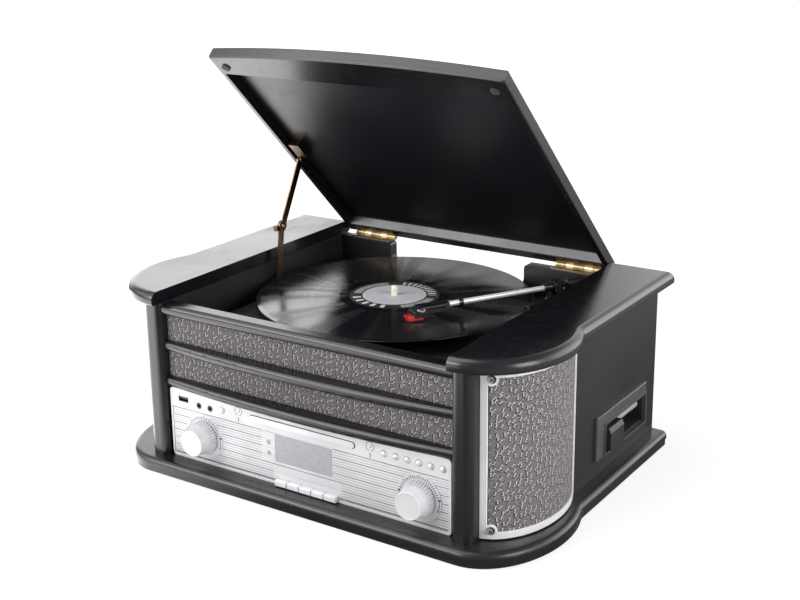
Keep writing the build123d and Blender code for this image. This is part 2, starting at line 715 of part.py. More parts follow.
def frame_screws():
    """Cross-head screws of the speaker frames, and the shoulder screw at the foot of the stay."""
    screws = []
    for plane in drum_screw_planes():
        head = Pos(0, 0, SCREW_HEAD_HEIGHT / 2 + SKIN_GAP) * Cylinder(SCREW_HEAD_RADIUS, SCREW_HEAD_HEIGHT)
        shank = Pos(0, 0, SKIN_GAP - SCREW_LENGTH / 2) * Cylinder(SCREW_RADIUS, SCREW_LENGTH)
        slot = Pos(0, 0, SCREW_HEAD_HEIGHT + SKIN_GAP) * Box(SCREW_HEAD_RADIUS, 0.7, 0.8)
        cross = slot + Rot(0, 0, 90) * slot
        screws.append(plane * (head + shank - cross))
    screws += [mirror(screw, about=Plane.YZ) for screw in screws]
    foot = (STAY_FOOT_Y, STAY_FOOT_Z)
    shoulder = rod_x(*foot, (-WELL_X - SCREW_LENGTH + 1, -WELL_X), SCREW_RADIUS)
    shoulder += rod_x(*foot, (-WELL_X, STAY_RIM_X - STAY_GAP), STAY_RIVET)
    shoulder += rod_x(*foot, (STAY_RIM_X - STAY_GAP, STAY_UPPER_X), STAY_SCREW_NECK)
    shoulder += rod_x(*foot, (STAY_UPPER_X, STAY_UPPER_X + STAY_RIVET_HEAD), STAY_RIVET)
    return Compound(children=screws + [shoulder])


# ---- Control panel ----
def stadium(width, height, depth):
    """Round-ended bar, flat on its long sides, as thick as depth along Y."""
    return Rot(90, 0, 0) * extrude(SlotOverall(width, height), amount=depth / 2, both=True)


def button_xs():
    """Centres of the round buttons."""
    return [BUTTON_FIRST_X + index * BUTTON_PITCH for index in range(BUTTON_COUNT)]


def key_xs():
    """Centres of the five keys under the window."""
    return [KEY_FIRST_X + index * KEY_PITCH for index in range(KEY_COUNT)]


def socket_spans(margin=0.0):
    """Outer limits of the data socket along X and Z."""
    x_span = (USB_X - USB_WIDTH / 2 - margin, USB_X + USB_WIDTH / 2 + margin)
    z_span = (USB_Z - USB_HEIGHT / 2 - margin, USB_Z + USB_HEIGHT / 2 + margin)
    return x_span, z_span


def window_spans(margin=0.0):
    """Outer limits of the display window along X and Z."""
    x_span = (WINDOW_X - WINDOW_WIDTH / 2 - margin, WINDOW_X + WINDOW_WIDTH / 2 + margin)
    z_span = (WINDOW_Z - WINDOW_HEIGHT / 2 - margin, WINDOW_Z + WINDOW_HEIGHT / 2 + margin)
    return x_span, z_span


def panel_holes():
    """Everything cut right through the control panel."""
    through = (FRONT_Y - 2, FRONT_Y + PANEL_THICKNESS + 2)
    x_span, z_span = socket_spans(HOLE_GAP)
    holes = block(x_span, through, z_span)
    x_span, z_span = window_spans(HOLE_GAP)
    holes += block(x_span, through, z_span)
    width = TRAY_FRONT_WIDTH + 2 * HOLE_GAP
    height = TRAY_FRONT_HEIGHT + 2 * HOLE_GAP
    holes += Pos(0, FRONT_Y, TRAY_Z) * stadium(width, height, 4 * PANEL_THICKNESS)
    for x in (VOLUME_X, TUNING_X):
        holes += rod_y(x, KNOB_Z, through, SPINDLE_RADIUS + HOLE_GAP)
    for x in button_xs() + [FUNCTION_X]:
        holes += rod_y(x, BUTTON_Z, through, BUTTON_RADIUS + HOLE_GAP)
    for x in JACK_XS:
        holes += rod_y(x, JACK_Z, through, JACK_RADIUS + HOLE_GAP)
    for z in LAMP_HEIGHTS:
        holes += rod_y(LAMP_X, z, through, LAMP_RADIUS + HOLE_GAP)
    keys = (key_xs()[0] - KEY_WIDTH / 2 - HOLE_GAP, key_xs()[-1] + KEY_WIDTH / 2 + HOLE_GAP)
    holes += block(keys, through, (BASE_TOP, KEY_BOTTOM + KEY_HEIGHT + HOLE_GAP))
    return holes


def panel_bosses():
    """Eight round bosses between the panel and the control board."""
    length = (FRONT_Y + PANEL_THICKNESS, CIRCUIT_Y)
    outer = PANEL_WIDTH / 2 - BOSS_INSET
    spots = [(x, z) for x in (-outer, *BOSS_INNER_XS, outer) for z in BOSS_HEIGHTS]
    return Compound(children=[rod_y(x, z, length, SPINDLE_RADIUS) for x, z in spots])


def control_panel():
    """Flat silver panel with a sunk, lined lower field and a plain disc round each knob."""
    z_span = (BASE_TOP + PANEL_GAP, PANEL_TOP)
    panel = block((-PANEL_WIDTH / 2, PANEL_WIDTH / 2), (FRONT_Y, FRONT_Y + PANEL_THICKNESS), z_span)
    panel = fillet(panel.edges().filter_by(Axis.Y), PANEL_CORNER)
    field_x = (RECESS_MARGIN - PANEL_WIDTH / 2, PANEL_WIDTH / 2 - RECESS_MARGIN)
    field_z = (z_span[0] + RECESS_MARGIN, PANEL_TOP - BAND_HEIGHT)
    field = block(field_x, (FRONT_Y - 1, FRONT_Y + RECESS_DEPTH), field_z)
    line_y = (FRONT_Y - 1, FRONT_Y + RECESS_DEPTH + LINE_DEPTH)
    line_top = field_z[1] - LINE_WIDTH
    for index in range(int((line_top - field_z[0]) / LINE_PITCH) + 1):
        z = line_top - index * LINE_PITCH
        field += block(field_x, line_y, (z - LINE_WIDTH / 2, z + LINE_WIDTH / 2))
    for x in (VOLUME_X, TUNING_X):
        field -= rod_y(x, KNOB_Z, (FRONT_Y - 2, FRONT_Y + PANEL_THICKNESS), DIAL_RADIUS)
    return panel - field - panel_holes()


def display_module():
    """Display window and two signal lamps, all seated on the control board."""
    x_span, z_span = window_spans()
    window = block(x_span, (FRONT_Y + RECESS_DEPTH, CIRCUIT_Y), z_span)
    lamps = [rod_y(LAMP_X, z, (FRONT_Y + RECESS_DEPTH - 0.5, CIRCUIT_Y), LAMP_RADIUS) for z in LAMP_HEIGHTS]
    return Compound(children=[window] + lamps)


def control_board():
    """Upright circuit board behind the panel, with the pot bodies and push switches."""
    y_span = (CIRCUIT_Y, CIRCUIT_Y + CIRCUIT_THICKNESS)
    reach = PANEL_WIDTH / 2 - PANEL_CORNER
    board = block((-reach, reach), y_span, (BASE_TOP + 5, PANEL_TOP - 4))
    clear_x = TRAY_WIDTH / 2 + LOADER_WALL + 3
    board -= block((-clear_x, clear_x), grown(y_span, 1), (TRAY_Z - LOADER_DROP - 3, PANEL_TOP))
    bush_front = FRONT_Y + PANEL_THICKNESS + POT_BUSH_GAP
    pot_front = FRONT_Y + POT_BUSH_DEPTH
    for x in (VOLUME_X, TUNING_X):
        board += rod_y(x, KNOB_Z, (pot_front, CIRCUIT_Y), POT_RADIUS)
        board += rod_y(x, KNOB_Z, (bush_front, pot_front), POT_BUSH_RADIUS)
        board -= rod_y(x, KNOB_Z, (bush_front - 1, CIRCUIT_Y - 2), SPINDLE_RADIUS + RUNNING_GAP)
    for x in button_xs() + [FUNCTION_X]:
        board += block(around(x, SWITCH_HALF), (SWITCH_Y, CIRCUIT_Y), around(BUTTON_Z, SWITCH_HALF))
    key_z = KEY_BOTTOM + KEY_HEIGHT / 2
    for x in key_xs():
        board += block(around(x, SWITCH_HALF), (SWITCH_Y, CIRCUIT_Y), (key_z - 2, key_z + 5))
    return board


def input_sockets():
    """Data socket and two round jack sockets, soldered to the control board."""
    x_span, z_span = socket_spans()
    y_span = (FRONT_Y + SKIN_GAP, CIRCUIT_Y)
    shell = block(x_span, y_span, z_span)
    shell -= block(grown(x_span, -USB_WALL), (FRONT_Y - 1, CIRCUIT_Y - 1), grown(z_span, -USB_WALL))
    tongue_z = (USB_Z + USB_TONGUE_RISE, USB_Z + USB_TONGUE_RISE + USB_TONGUE)
    shell += block(grown(x_span, -1.0), (FRONT_Y + 1, CIRCUIT_Y), tongue_z)
    sockets = [shell]
    for x in JACK_XS:
        socket = rod_y(x, JACK_Z, (FRONT_Y - SKIN_GAP, FRONT_Y + PANEL_THICKNESS + 1), JACK_RADIUS)
        body_y = (FRONT_Y + PANEL_THICKNESS + 1, CIRCUIT_Y)
        socket += block(around(x, JACK_BODY_WIDTH / 2), body_y, around(JACK_Z, JACK_BODY_HEIGHT / 2))
        sockets.append(socket - rod_y(x, JACK_Z, (FRONT_Y - 1, FRONT_Y - SKIN_GAP + JACK_DEPTH), JACK_BORE))
    return Compound(children=sockets)


def knob(x):
    """Tapered knob with a fluted skirt and a shallow dished face, and the pot spindle in its bore."""
    face_y = FRONT_Y - KNOB_REACH
    back_y = FRONT_Y - KNOB_GAP
    skirt_y = back_y - KNOB_FLUTE_LENGTH
    rim = KNOB_FACE_RADIUS
    profile = Polyline(
        (0, face_y + KNOB_DISH), (rim - KNOB_LIP, face_y + KNOB_DISH), (rim - KNOB_LIP / 2, face_y),
        (rim, face_y + KNOB_DISH), (rim + KNOB_TAPER, skirt_y), (KNOB_BASE_RADIUS, skirt_y + 2 * KNOB_DISH),
        (KNOB_BASE_RADIUS, back_y), (0, back_y), close=True,
    )
    body = revolve(make_face(profile), Axis.Y, 360)
    for index in range(KNOB_FLUTES):
        angle = 360 / KNOB_FLUTES * index
        flute = rod_y(KNOB_BASE_RADIUS + 0.4, 0, (skirt_y - 1, back_y + 1), KNOB_FLUTE_DEPTH + 0.4)
        body -= Rot(0, angle, 0) * flute
    bore_y = back_y - KNOB_BORE_DEPTH
    body -= rod_y(0, 0, (bore_y, back_y + 1), SPINDLE_RADIUS)
    spindle = rod_y(0, 0, (bore_y, CIRCUIT_Y - 3), SPINDLE_RADIUS)
    return Pos(x, 0, KNOB_Z) * Compound(children=[body, spindle])


def round_button(x):
    """Domed round button on a stem that ends just clear of its switch."""
    front = FRONT_Y - BUTTON_REACH
    stem_end = SWITCH_Y - BUTTON_TRAVEL - HOLE_GAP
    cap = rod_y(x, BUTTON_Z, (front, FRONT_Y + PANEL_THICKNESS + 1), BUTTON_RADIUS)
    cap = fillet(cap.edges().sort_by(Axis.Y)[0], 1.2)
    return cap + rod_y(x, BUTTON_Z, (FRONT_Y + PANEL_THICKNESS + 1, stem_end), BUTTON_RADIUS - 1)


def piano_key(x):
    """Square-fronted push key with eased edges."""
    key_z = (KEY_BOTTOM, KEY_BOTTOM + KEY_HEIGHT)
    stem_end = SWITCH_Y - BUTTON_TRAVEL - HOLE_GAP
    key = block((x - KEY_WIDTH / 2, x + KEY_WIDTH / 2), (FRONT_Y - KEY_REACH, stem_end), key_z)
    front = key.faces().sort_by(Axis.Y)[0].edges()
    return fillet(front, 0.8)


# ---- Disc tray and loader ----
def disc_centre_y():
    """Middle of the disc pocket when the tray is shut."""
    return FRONT_Y - TRAY_REACH + TRAY_LIP + DISC_POCKET_RADIUS + TRAY_POCKET_START


def cd_tray():
    """Sliding tray with a round-ended front and a sunk round pocket for a disc."""
    lip_y = FRONT_Y - TRAY_REACH + TRAY_LIP
    front = Pos(0, lip_y - TRAY_LIP / 2, TRAY_Z) * stadium(TRAY_FRONT_WIDTH, TRAY_FRONT_HEIGHT, TRAY_LIP)
    plate_y = (lip_y, FRONT_Y + TRAY_LENGTH)
    plate_z = (TRAY_Z - TRAY_THICKNESS / 2, TRAY_Z + TRAY_THICKNESS / 2)
    plate = block((-TRAY_WIDTH / 2, TRAY_WIDTH / 2), plate_y, plate_z)
    centre_y = disc_centre_y()
    plate -= rod_z(0, centre_y, (plate_z[1] - DISC_POCKET_DEPTH, plate_z[1] + 1), DISC_POCKET_RADIUS)
    plate -= rod_z(0, centre_y, (plate_z[0] - 1, plate_z[1]), TRAY_HUB_HOLE)
    plate -= block(around(0, TRAY_SLOT_WIDTH / 2), (centre_y, plate_y[1] - TRAY_SLOT_END), grown(plate_z, 1))
    return front + plate


def cd_mechanism():
    """Loader frame under the tray: floor, side rails, hub and four legs on the base."""
    half = TRAY_WIDTH / 2
    outer = half + LOADER_WALL
    floor_z = TRAY_Z - LOADER_DROP
    y_span = (CIRCUIT_Y + CIRCUIT_THICKNESS + LOADER_START_GAP, FRONT_Y + LOADER_LENGTH)
    frame = block((-outer, outer), y_span, (floor_z, floor_z + LOADER_SHEET))
    tray_bottom = TRAY_Z - TRAY_THICKNESS / 2
    for side in (-1, 1):
        wall = sorted((side * (half + HOLE_GAP), side * outer))
        ledge = sorted((side * (half - LOADER_LEDGE), side * outer))
        frame += block(wall, y_span, (floor_z, TRAY_Z + TRAY_THICKNESS / 2 + LOADER_SHEET))
        frame += block(ledge, y_span, (tray_bottom - HOLE_GAP - LOADER_SHEET, tray_bottom - HOLE_GAP))
        for y in (y_span[0] + LOADER_LEG / 3, y_span[1] - LOADER_LEG * 4 / 3):
            leg = sorted((side * (outer - LOADER_LEG), side * outer))
            frame += block(leg, (y, y + LOADER_LEG), (BASE_TOP, floor_z))
    frame += rod_z(0, disc_centre_y(), (floor_z, tray_bottom - HOLE_GAP), LOADER_HUB_RADIUS)
    return frame


# ---- Cassette unit ----
def cassette_bezel():
    """Frame on the right side with a raised inner rim round the slot."""
    y_span = (BEZEL_Y, BEZEL_Y + BEZEL_LENGTH)
    z_span = (BEZEL_BOTTOM, BEZEL_BOTTOM + BEZEL_HEIGHT)
    slot_y, slot_z = cassette_spans()
    plate = block((SIDE_X, SIDE_X + BEZEL_THICKNESS), y_span, z_span)
    outer = [e for e in plate.faces().sort_by(Axis.X)[-1].edges()]
    plate = fillet(outer, BEZEL_RIM)
    margin = 2 * BEZEL_RIM
    rim_x = (SIDE_X, SIDE_X + BEZEL_THICKNESS + BEZEL_RIM)
    plate += block(rim_x, grown(slot_y, margin), grown(slot_z, margin))
    return plate - block(grown(rim_x, 1), slot_y, slot_z)


def cassette_mechanism():
    """Open-ended box for the cassette, a chute for the key beside it and two legs."""
    slot_y, slot_z = cassette_spans()
    outer_y = grown(slot_y, CASSETTE_SHELL)
    outer_z = grown(slot_z, CASSETTE_SHELL)
    bay_y = (slot_y[1] - CASSETTE_WIDTH, slot_y[1])
    inner_x = SIDE_X - CASSETTE_LENGTH
    box = block((inner_x, SIDE_X), (bay_y[0] - CASSETTE_SHELL, outer_y[1]), outer_z)
    chute_x = SIDE_X - KEY_CHUTE_DEPTH
    inside_z = grown(slot_z, -CASSETTE_SHELF_RISE)
    box += block((chute_x - CASSETTE_SHELL, SIDE_X), outer_y, outer_z)
    box -= block((inner_x + CASSETTE_SHELL, SIDE_X + 1), bay_y, inside_z)
    box -= block((chute_x, SIDE_X + 1), (slot_y[0], bay_y[0] - CASSETTE_SHELL), inside_z)
    leg_x = (inner_x + UNIT_LEG / 2, inner_x + UNIT_LEG * 3 / 2)
    for y in (bay_y[0] + UNIT_LEG / 3, bay_y[1] - UNIT_LEG * 4 / 3):
        box += block(leg_x, (y, y + UNIT_LEG), (BASE_TOP, outer_z[0]))
    roller = rod_y(SIDE_X - ROLLER_SET_BACK, slot_z[1] - ROLLER_DROP, grown(bay_y, -HOLE_GAP), ROLLER_RADIUS)
    return Compound(children=[box, roller])


def cassette_key():
    """Wedge-shaped push key beside the slot."""
    slot_y, slot_z = cassette_spans()
    y_start = slot_y[0] + HOLE_GAP
    y_span = (y_start, y_start + CASSETTE_KEY_WIDTH)
    z_span = around(sum(slot_z) / 2, CASSETTE_KEY_HEIGHT / 2)
    x_span = (SIDE_X - KEY_CHUTE_DEPTH + CASSETTE_KEY_TRAVEL + HOLE_GAP, SIDE_X + CASSETTE_KEY_REACH)
    key = block(x_span, y_span, z_span)
    front = key.faces().sort_by(Axis.X)[-1].edges().filter_by(Axis.Y).sort_by(Axis.Z)[-1]
    return chamfer(front, CASSETTE_KEY_BEVEL, CASSETTE_KEY_BEVEL / 2)


# ---- Record deck ----
def pulley_centre():
    """Place of the motor pulley beside the platter's hub."""
    angle = radians(PULLEY_ANGLE)
    return RECORD_X + PULLEY_DISTANCE * cos(angle), RECORD_Y + PULLEY_DISTANCE * sin(angle)


def belt_outline(hub_radius, pulley_radius):
    """Outline round two circles, joined by their outer tangents."""
    angle = degrees(acos((hub_radius - pulley_radius) / PULLEY_DISTANCE))
    centre = Vector(RECORD_X, RECORD_Y)
    far = Vector(*pulley_centre())
    corners = []
    for middle, radius, turns in ((centre, hub_radius, (1, -1)), (far, pulley_radius, (-1, 1))):
        for turn in turns:
            direction = Vector(1, 0).rotate(Axis.Z, PULLEY_ANGLE + turn * angle)
            corners.append(middle + direction * radius)
    sides = make_face(Polyline(*corners, close=True))
    return sides + Pos(centre.X, centre.Y) * Circle(hub_radius) + Pos(far.X, far.Y) * Circle(pulley_radius)


def deck_plate():
    """Plate across the well with a bearing tube, a motor hole and a notch beside the stay."""
    x_span = (-WELL_X + SKIN_GAP, WELL_X - SKIN_GAP)
    y_span = (POST_BACK_Y + SKIN_GAP, REAR_FRONT_Y - SKIN_GAP)
    plate = block(x_span, y_span, (DECK_BOTTOM, DECK_TOP))
    notch_x = (-WELL_X - 1, STAY_RIM_X + STAY_PLATE + NOTCH_WIDTH)
    plate -= block(notch_x, NOTCH_Y, (DECK_BOTTOM - 1, DECK_TOP + 1))
    bearing = (DECK_TOP - BEARING_LENGTH, DECK_TOP)
    plate += rod_z(RECORD_X, RECORD_Y, bearing, 2 * SHAFT_RADIUS)
    plate -= rod_z(RECORD_X, RECORD_Y, grown(bearing, 1), SHAFT_RADIUS + RUNNING_GAP)
    plate -= rod_z(*pulley_centre(), (DECK_BOTTOM - 1, DECK_TOP + 1), MOTOR_HOLE)
    slot_x, slot_y = speed_switch_place()
    slot = (around(slot_x, SWITCH_SLOT_WIDTH / 2), around(slot_y, SWITCH_SLOT_LENGTH / 2))
    plate -= block(*slot, (DECK_BOTTOM - 1, DECK_TOP + 1))
    return plate


def deck_motor():
    """Can motor hung under the deck plate."""
    x, y = pulley_centre()
    can = rod_z(x, y, (DECK_BOTTOM - MOTOR_HEIGHT, DECK_BOTTOM), MOTOR_RADIUS)
    bore = (DECK_BOTTOM - MOTOR_HEIGHT + MOTOR_END, DECK_BOTTOM + 1)
    return can - rod_z(x, y, bore, MOTOR_SHAFT + RUNNING_GAP)


def motor_pulley():
    """Pulley on the motor's shaft, level with the belt."""
    x, y = pulley_centre()
    hub_z = hub_span()
    pulley = rod_z(x, y, grown(hub_z, -HOLE_GAP), PULLEY_RADIUS)
    shaft_bottom = DECK_BOTTOM - MOTOR_HEIGHT + MOTOR_END + 1
    return pulley + rod_z(x, y, (shaft_bottom, hub_z[0] + 1), MOTOR_SHAFT)


def hub_span():
    """Heights of the hub ring under the platter that the belt runs on."""
    bottom = DECK_TOP + HUB_GAP
    return bottom, PLATTER_TOP - PLATTER_THICKNESS


def drive_belt():
    """Flat rubber belt round the platter's hub ring and the pulley."""
    inner = (PLATTER_HUB_RADIUS + BELT_GAP, PULLEY_RADIUS + BELT_GAP)
    outer = [radius + BELT_THICKNESS for radius in inner]
    loop = belt_outline(*outer) - belt_outline(*inner)
    low, high = grown(hub_span(), -BELT_INSET)
    return raised(loop, low, high)


def platter():
    """Platter with its hub ring, shaft and centre pin, and the felt mat on top."""
    low, high = hub_span()
    x, y = RECORD_X, RECORD_Y
    disc = rod_z(x, y, (high, PLATTER_TOP), PLATTER_RADIUS)
    hub = rod_z(x, y, (low, high), PLATTER_HUB_RADIUS)
    hub -= rod_z(x, y, (low - 1, high), PLATTER_HUB_RADIUS - PLATTER_HUB_WALL)
    boss = rod_z(x, y, (low, high), 2 * SHAFT_RADIUS)
    shaft = rod_z(x, y, (DECK_TOP - BEARING_LENGTH, low), SHAFT_RADIUS)
    pin = rod_z(x, y, (PLATTER_TOP, CENTRE_PIN_TOP), CENTRE_PIN_RADIUS)
    pin = fillet(pin.edges().sort_by(Axis.Z)[-1], CENTRE_PIN_RADIUS - 0.8)
    mat = rod_z(x, y, (PLATTER_TOP, PLATTER_TOP + MAT_THICKNESS), PLATTER_RADIUS - 3)
    mat -= rod_z(x, y, (PLATTER_TOP - 1, PLATTER_TOP + 3), CENTRE_PIN_RADIUS + RUNNING_GAP)
    return Compound(children=[disc + hub + boss + shaft + pin, mat])


def record():
    """Long-playing record lying on the mat."""
    disc = rod_z(RECORD_X, RECORD_Y, (RECORD_TOP - RECORD_THICKNESS, RECORD_TOP), RECORD_RADIUS)
    disc = fillet(disc.edges().filter_by(GeomType.CIRCLE), RECORD_THICKNESS / 2 - 0.4)
    label = rod_z(RECORD_X, RECORD_Y, (RECORD_TOP - 0.15, RECORD_TOP + 1), LABEL_RADIUS)
    disc -= label - rod_z(RECORD_X, RECORD_Y, (RECORD_TOP - 1, RECORD_TOP + 2), LABEL_RADIUS - 1.5)
    return disc - rod_z(RECORD_X, RECORD_Y, (RECORD_TOP - 5, RECORD_TOP + 5), CENTRE_PIN_RADIUS + RUNNING_GAP)


def speed_switch_place():
    """Centre of the speed switch, at the front right of the deck plate."""
    return ARM_X + SWITCH_INSET, POST_BACK_Y + SWITCH_DEPTH_BACK


def speed_switch():
    """Small sliding knob in a slot of the deck plate."""
    x, y = speed_switch_place()
    knob_body = block((x - 4, x + 4), (y - 7, y + 1), (DECK_TOP + SKIN_GAP, DECK_TOP + 4))
    top = knob_body.faces().sort_by(Axis.Z)[-1].edges()
    return fillet(top, 1.0) + block((x - 2, x + 2), (y - 5, y - 1), (DECK_BOTTOM, DECK_TOP + 1))


# ---- Tone arm ----
def on_arm(piece):
    """Put a piece drawn along +X from the pivot onto the tone arm's line."""
    return Pos(ARM_X, ARM_Y, ARM_Z) * Rot(0, 0, ARM_TURN) * piece


def tonearm_base():
    """Turret that holds the arm's upright shaft, and the low post the arm parks on."""
    turret = rod_z(ARM_X, ARM_Y, (DECK_TOP, DECK_TOP + ARM_BASE_HEIGHT), ARM_BASE_RADIUS)
    turret = fillet(turret.edges().sort_by(Axis.Z)[-1], 1.5)
    turret -= rod_z(ARM_X, ARM_Y, (DECK_TOP + 2, ARM_Z), SHAFT_RADIUS + RUNNING_GAP)
    rest_top = ARM_Z - ARM_TUBE_RADIUS - HOLE_GAP
    rest_y = ARM_Y - REST_DEPTH
    rest = rod_z(ARM_X, rest_y, (DECK_TOP, rest_top - REST_HEAD_HEIGHT), REST_RADIUS)
    rest += rod_z(ARM_X, rest_y, (rest_top - REST_HEAD_HEIGHT, rest_top), REST_HEAD_RADIUS)
    return Compound(children=[turret, rest])


def tonearm_yoke():
    """Turning fork: shaft, disc and two ears for the arm's cross pin."""
    turret_top = DECK_TOP + ARM_BASE_HEIGHT
    floor = turret_top + HOLE_GAP - ARM_Z
    stem = rod_z(0, 0, (DECK_TOP + 3 - ARM_Z, floor), SHAFT_RADIUS)
    disc = rod_z(0, 0, (floor, floor + YOKE_DISC_HEIGHT), ARM_BASE_RADIUS - YOKE_DISC_INSET)
    fork = stem + disc
    ear_start = ARM_BLOCK_WIDTH / 2 + YOKE_CHEEK_GAP
    for side in (-1, 1):
        span = sorted((side * ear_start, side * (ear_start + YOKE_EAR)))
        half = YOKE_EAR_LENGTH / 2
        fork += block((-half, half), span, (floor, YOKE_RISE))
    fork -= rod_y(0, 0, (-ARM_BASE_RADIUS, ARM_BASE_RADIUS), ARM_PIN_RADIUS + RUNNING_GAP)
    return on_arm(fork)


def tonearm_tube():
    """Arm tube with its pivot block, cross pin, collar, rear weight, headshell and finger lift."""
    half = ARM_BLOCK_LENGTH / 2
    pin_reach = ARM_BLOCK_WIDTH / 2 + YOKE_CHEEK_GAP + YOKE_EAR - ARM_PIN_END_GAP
    rise = ARM_BLOCK_HEIGHT / 2
    arm = block((-half, half), (-ARM_BLOCK_WIDTH / 2, ARM_BLOCK_WIDTH / 2), (-rise, rise))
    arm += rod_y(0, 0, (-pin_reach, pin_reach), ARM_PIN_RADIUS)
    arm += rod_x(0, 0, (half, half + ARM_COLLAR_LENGTH), ARM_TUBE_RADIUS + ARM_COLLAR_STEP)
    arm += rod_x(0, 0, (half + ARM_COLLAR_LENGTH, ARM_TUBE_END), ARM_TUBE_RADIUS)
    arm += rod_x(0, 0, (-half - WEIGHT_LENGTH, -half), WEIGHT_RADIUS)
    shell_x = (ARM_TUBE_END - 1, ARM_TUBE_END - 1 + HEADSHELL_LENGTH)
    shell_z = (-HEADSHELL_DROP, HEADSHELL_HEIGHT - HEADSHELL_DROP)
    shell = block(shell_x, (-HEADSHELL_WIDTH / 2, HEADSHELL_WIDTH / 2), shell_z)
    front_top = shell.edges().filter_by(Axis.Y).group_by(Axis.X)[-1].sort_by(Axis.Z)[-1]
    shell = chamfer(front_top, HEADSHELL_NOSE_DROP, HEADSHELL_NOSE_LENGTH)
    back_corners = shell.edges().filter_by(Axis.Z).group_by(Axis.X)[0]
    shell = chamfer(back_corners, HEADSHELL_HEEL_LENGTH, HEADSHELL_HEEL_CUT)
    corner = Vector(shell_x[1], HEADSHELL_WIDTH / 2, 0)
    lift_start = corner - Vector(FINGER_LIFT_SET_BACK, FINGER_LIFT_ROOT, 0)
    path = Spline(lift_start, corner + Vector(*FINGER_LIFT_BEND), corner + Vector(*FINGER_LIFT_TIP))
    lift = sweep(Plane(origin=lift_start, z_dir=path % 0) * Circle(FINGER_LIFT_RADIUS), path)
    return on_arm(arm + shell + lift)


def cartridge():
    """Pick-up body under the headshell with its stylus holder."""
    shell_bottom = -HEADSHELL_DROP
    tip = RECORD_TOP + STYLUS_GAP - ARM_Z
    end = STYLUS_REACH - 1.5
    body_z = (tip + 3.4, shell_bottom)
    body = block((end - CARTRIDGE_LENGTH, end - 2), (-CARTRIDGE_WIDTH / 2, CARTRIDGE_WIDTH / 2), body_z)
    holder_x = (end - CARTRIDGE_LENGTH + 3, end + 4)
    holder = block(holder_x, around(0, CARTRIDGE_WIDTH / 2 - 1), (tip + 1.2, body_z[0]))
    needle = Pos(STYLUS_REACH, 0, tip + 0.7) * Rot(0, 180, 0) * Cone(0.9, 0.3, 1.4)
    return on_arm(Compound(children=[body, holder + needle]))


# ---- Lid, drawn closed and then turned up about the hinge line ----
def opened(piece):
    """Turn a piece of the closed lid up to its open position."""
    return Pos(0, HINGE_Y, HINGE_Z) * Rot(-LID_OPEN, 0, 0) * Pos(0, -HINGE_Y, -HINGE_Z) * piece


def lid_front_line(inset):
    """Bowed front edge of the lid, drawn in by an inset."""
    corner_y = LID_CORNER_Y + inset
    nose_y = corner_y - LID_BOW
    half = LID_HALF - inset
    return ThreePointArc((-half, corner_y), (0, nose_y), (half, corner_y))


def lid_outline(inset):
    """Plan of the lid, drawn in all round by an inset."""
    back_y = HINGE_Y - LID_BACK_GAP - inset
    arc = lid_front_line(inset)
    half = LID_HALF - inset
    right, left = (half, back_y), (-half, back_y)
    return make_face(arc + Line(arc @ 1, right) + Line(right, left) + Line(left, arc @ 0))


def hinge_xs():
    """Centres of the two hinges along the rear edge."""
    return (-HINGE_CENTRE_X, HINGE_CENTRE_X)


def leaf_limits():
    """Front and back of a hinge leaf, in plan."""
    return HINGE_Y - HINGE_LEAF_WIDTH, HINGE_Y


def lid_frame():
    """Lid rim: narrow sides, deeper back rail and broad bowed front rail, rebated for the panel."""
    frame = raised(lid_outline(0), LID_BOTTOM, LID_TOP)
    flats = frame.faces().sort_by(Axis.Z)
    outer = [*flats[0].edges(), *flats[-1].edges()]
    frame = fillet(outer, LID_EDGE_RADIUS)
    frame -= raised(lid_outline(LID_REBATE), LID_TOP - LID_PANEL_THICKNESS, LID_TOP + 1)
    inner_y = (LID_CORNER_Y + LID_FRONT_RIM, HINGE_Y - LID_BACK_GAP - LID_BACK_RIM)
    frame -= block((STAY_RIM_X, -STAY_RIM_X), inner_y, (LID_BOTTOM - 1, LID_TOP))
    leaf_top = HINGE_Z + HINGE_BARREL / 2 + HINGE_LEAF / 2
    for x in hinge_xs():
        leaf = (x - HINGE_LENGTH / 2 - SKIN_GAP, x + HINGE_LENGTH / 2 + SKIN_GAP)
        frame -= block(leaf, (leaf_limits()[0] - SKIN_GAP, HINGE_Y), (LID_BOTTOM - 1, leaf_top))
    return opened(frame)


def lid_panel():
    """Thin panel that fills the lid's rebate and shows its glossy face below."""
    return opened(raised(lid_outline(LID_REBATE), LID_TOP - LID_PANEL_THICKNESS, LID_TOP))


def lid_bumpers():
    """Two round rubber pads that rest on the top rail when the lid is shut."""
    y = FRONT_Y + BUMPER_SET_BACK
    pads = [rod_z(x, y, (LEDGE_Z, LID_BOTTOM), BUMPER_RADIUS) for x in (-BUMPER_X, BUMPER_X)]
    return opened(Compound(children=pads))


def knuckle_spans(x, first):
    """Every other knuckle of one hinge, from the first or the second."""
    pitch = HINGE_LENGTH / KNUCKLE_COUNT
    starts = [x - HINGE_LENGTH / 2 + index * pitch for index in range(first, KNUCKLE_COUNT, 2)]
    return [(start + KNUCKLE_GAP / 2, start + pitch - KNUCKLE_GAP / 2) for start in starts]


def hinge_leaf(x, first, leaf_z, bore):
    """One leaf with its knuckles round the pin line."""
    front, back = leaf_limits()
    leaf_y = (front, back - HINGE_BARREL - SKIN_GAP)
    leaf = block((x - HINGE_LENGTH / 2, x + HINGE_LENGTH / 2), leaf_y, leaf_z)
    for span in knuckle_spans(x, first):
        leaf += block(span, (leaf_y[1] - 1, back), leaf_z)
        leaf += rod_x(HINGE_Y, HINGE_Z, span, HINGE_BARREL)
        leaf -= rod_x(HINGE_Y, HINGE_Z, grown(span, 1), bore)
    return leaf


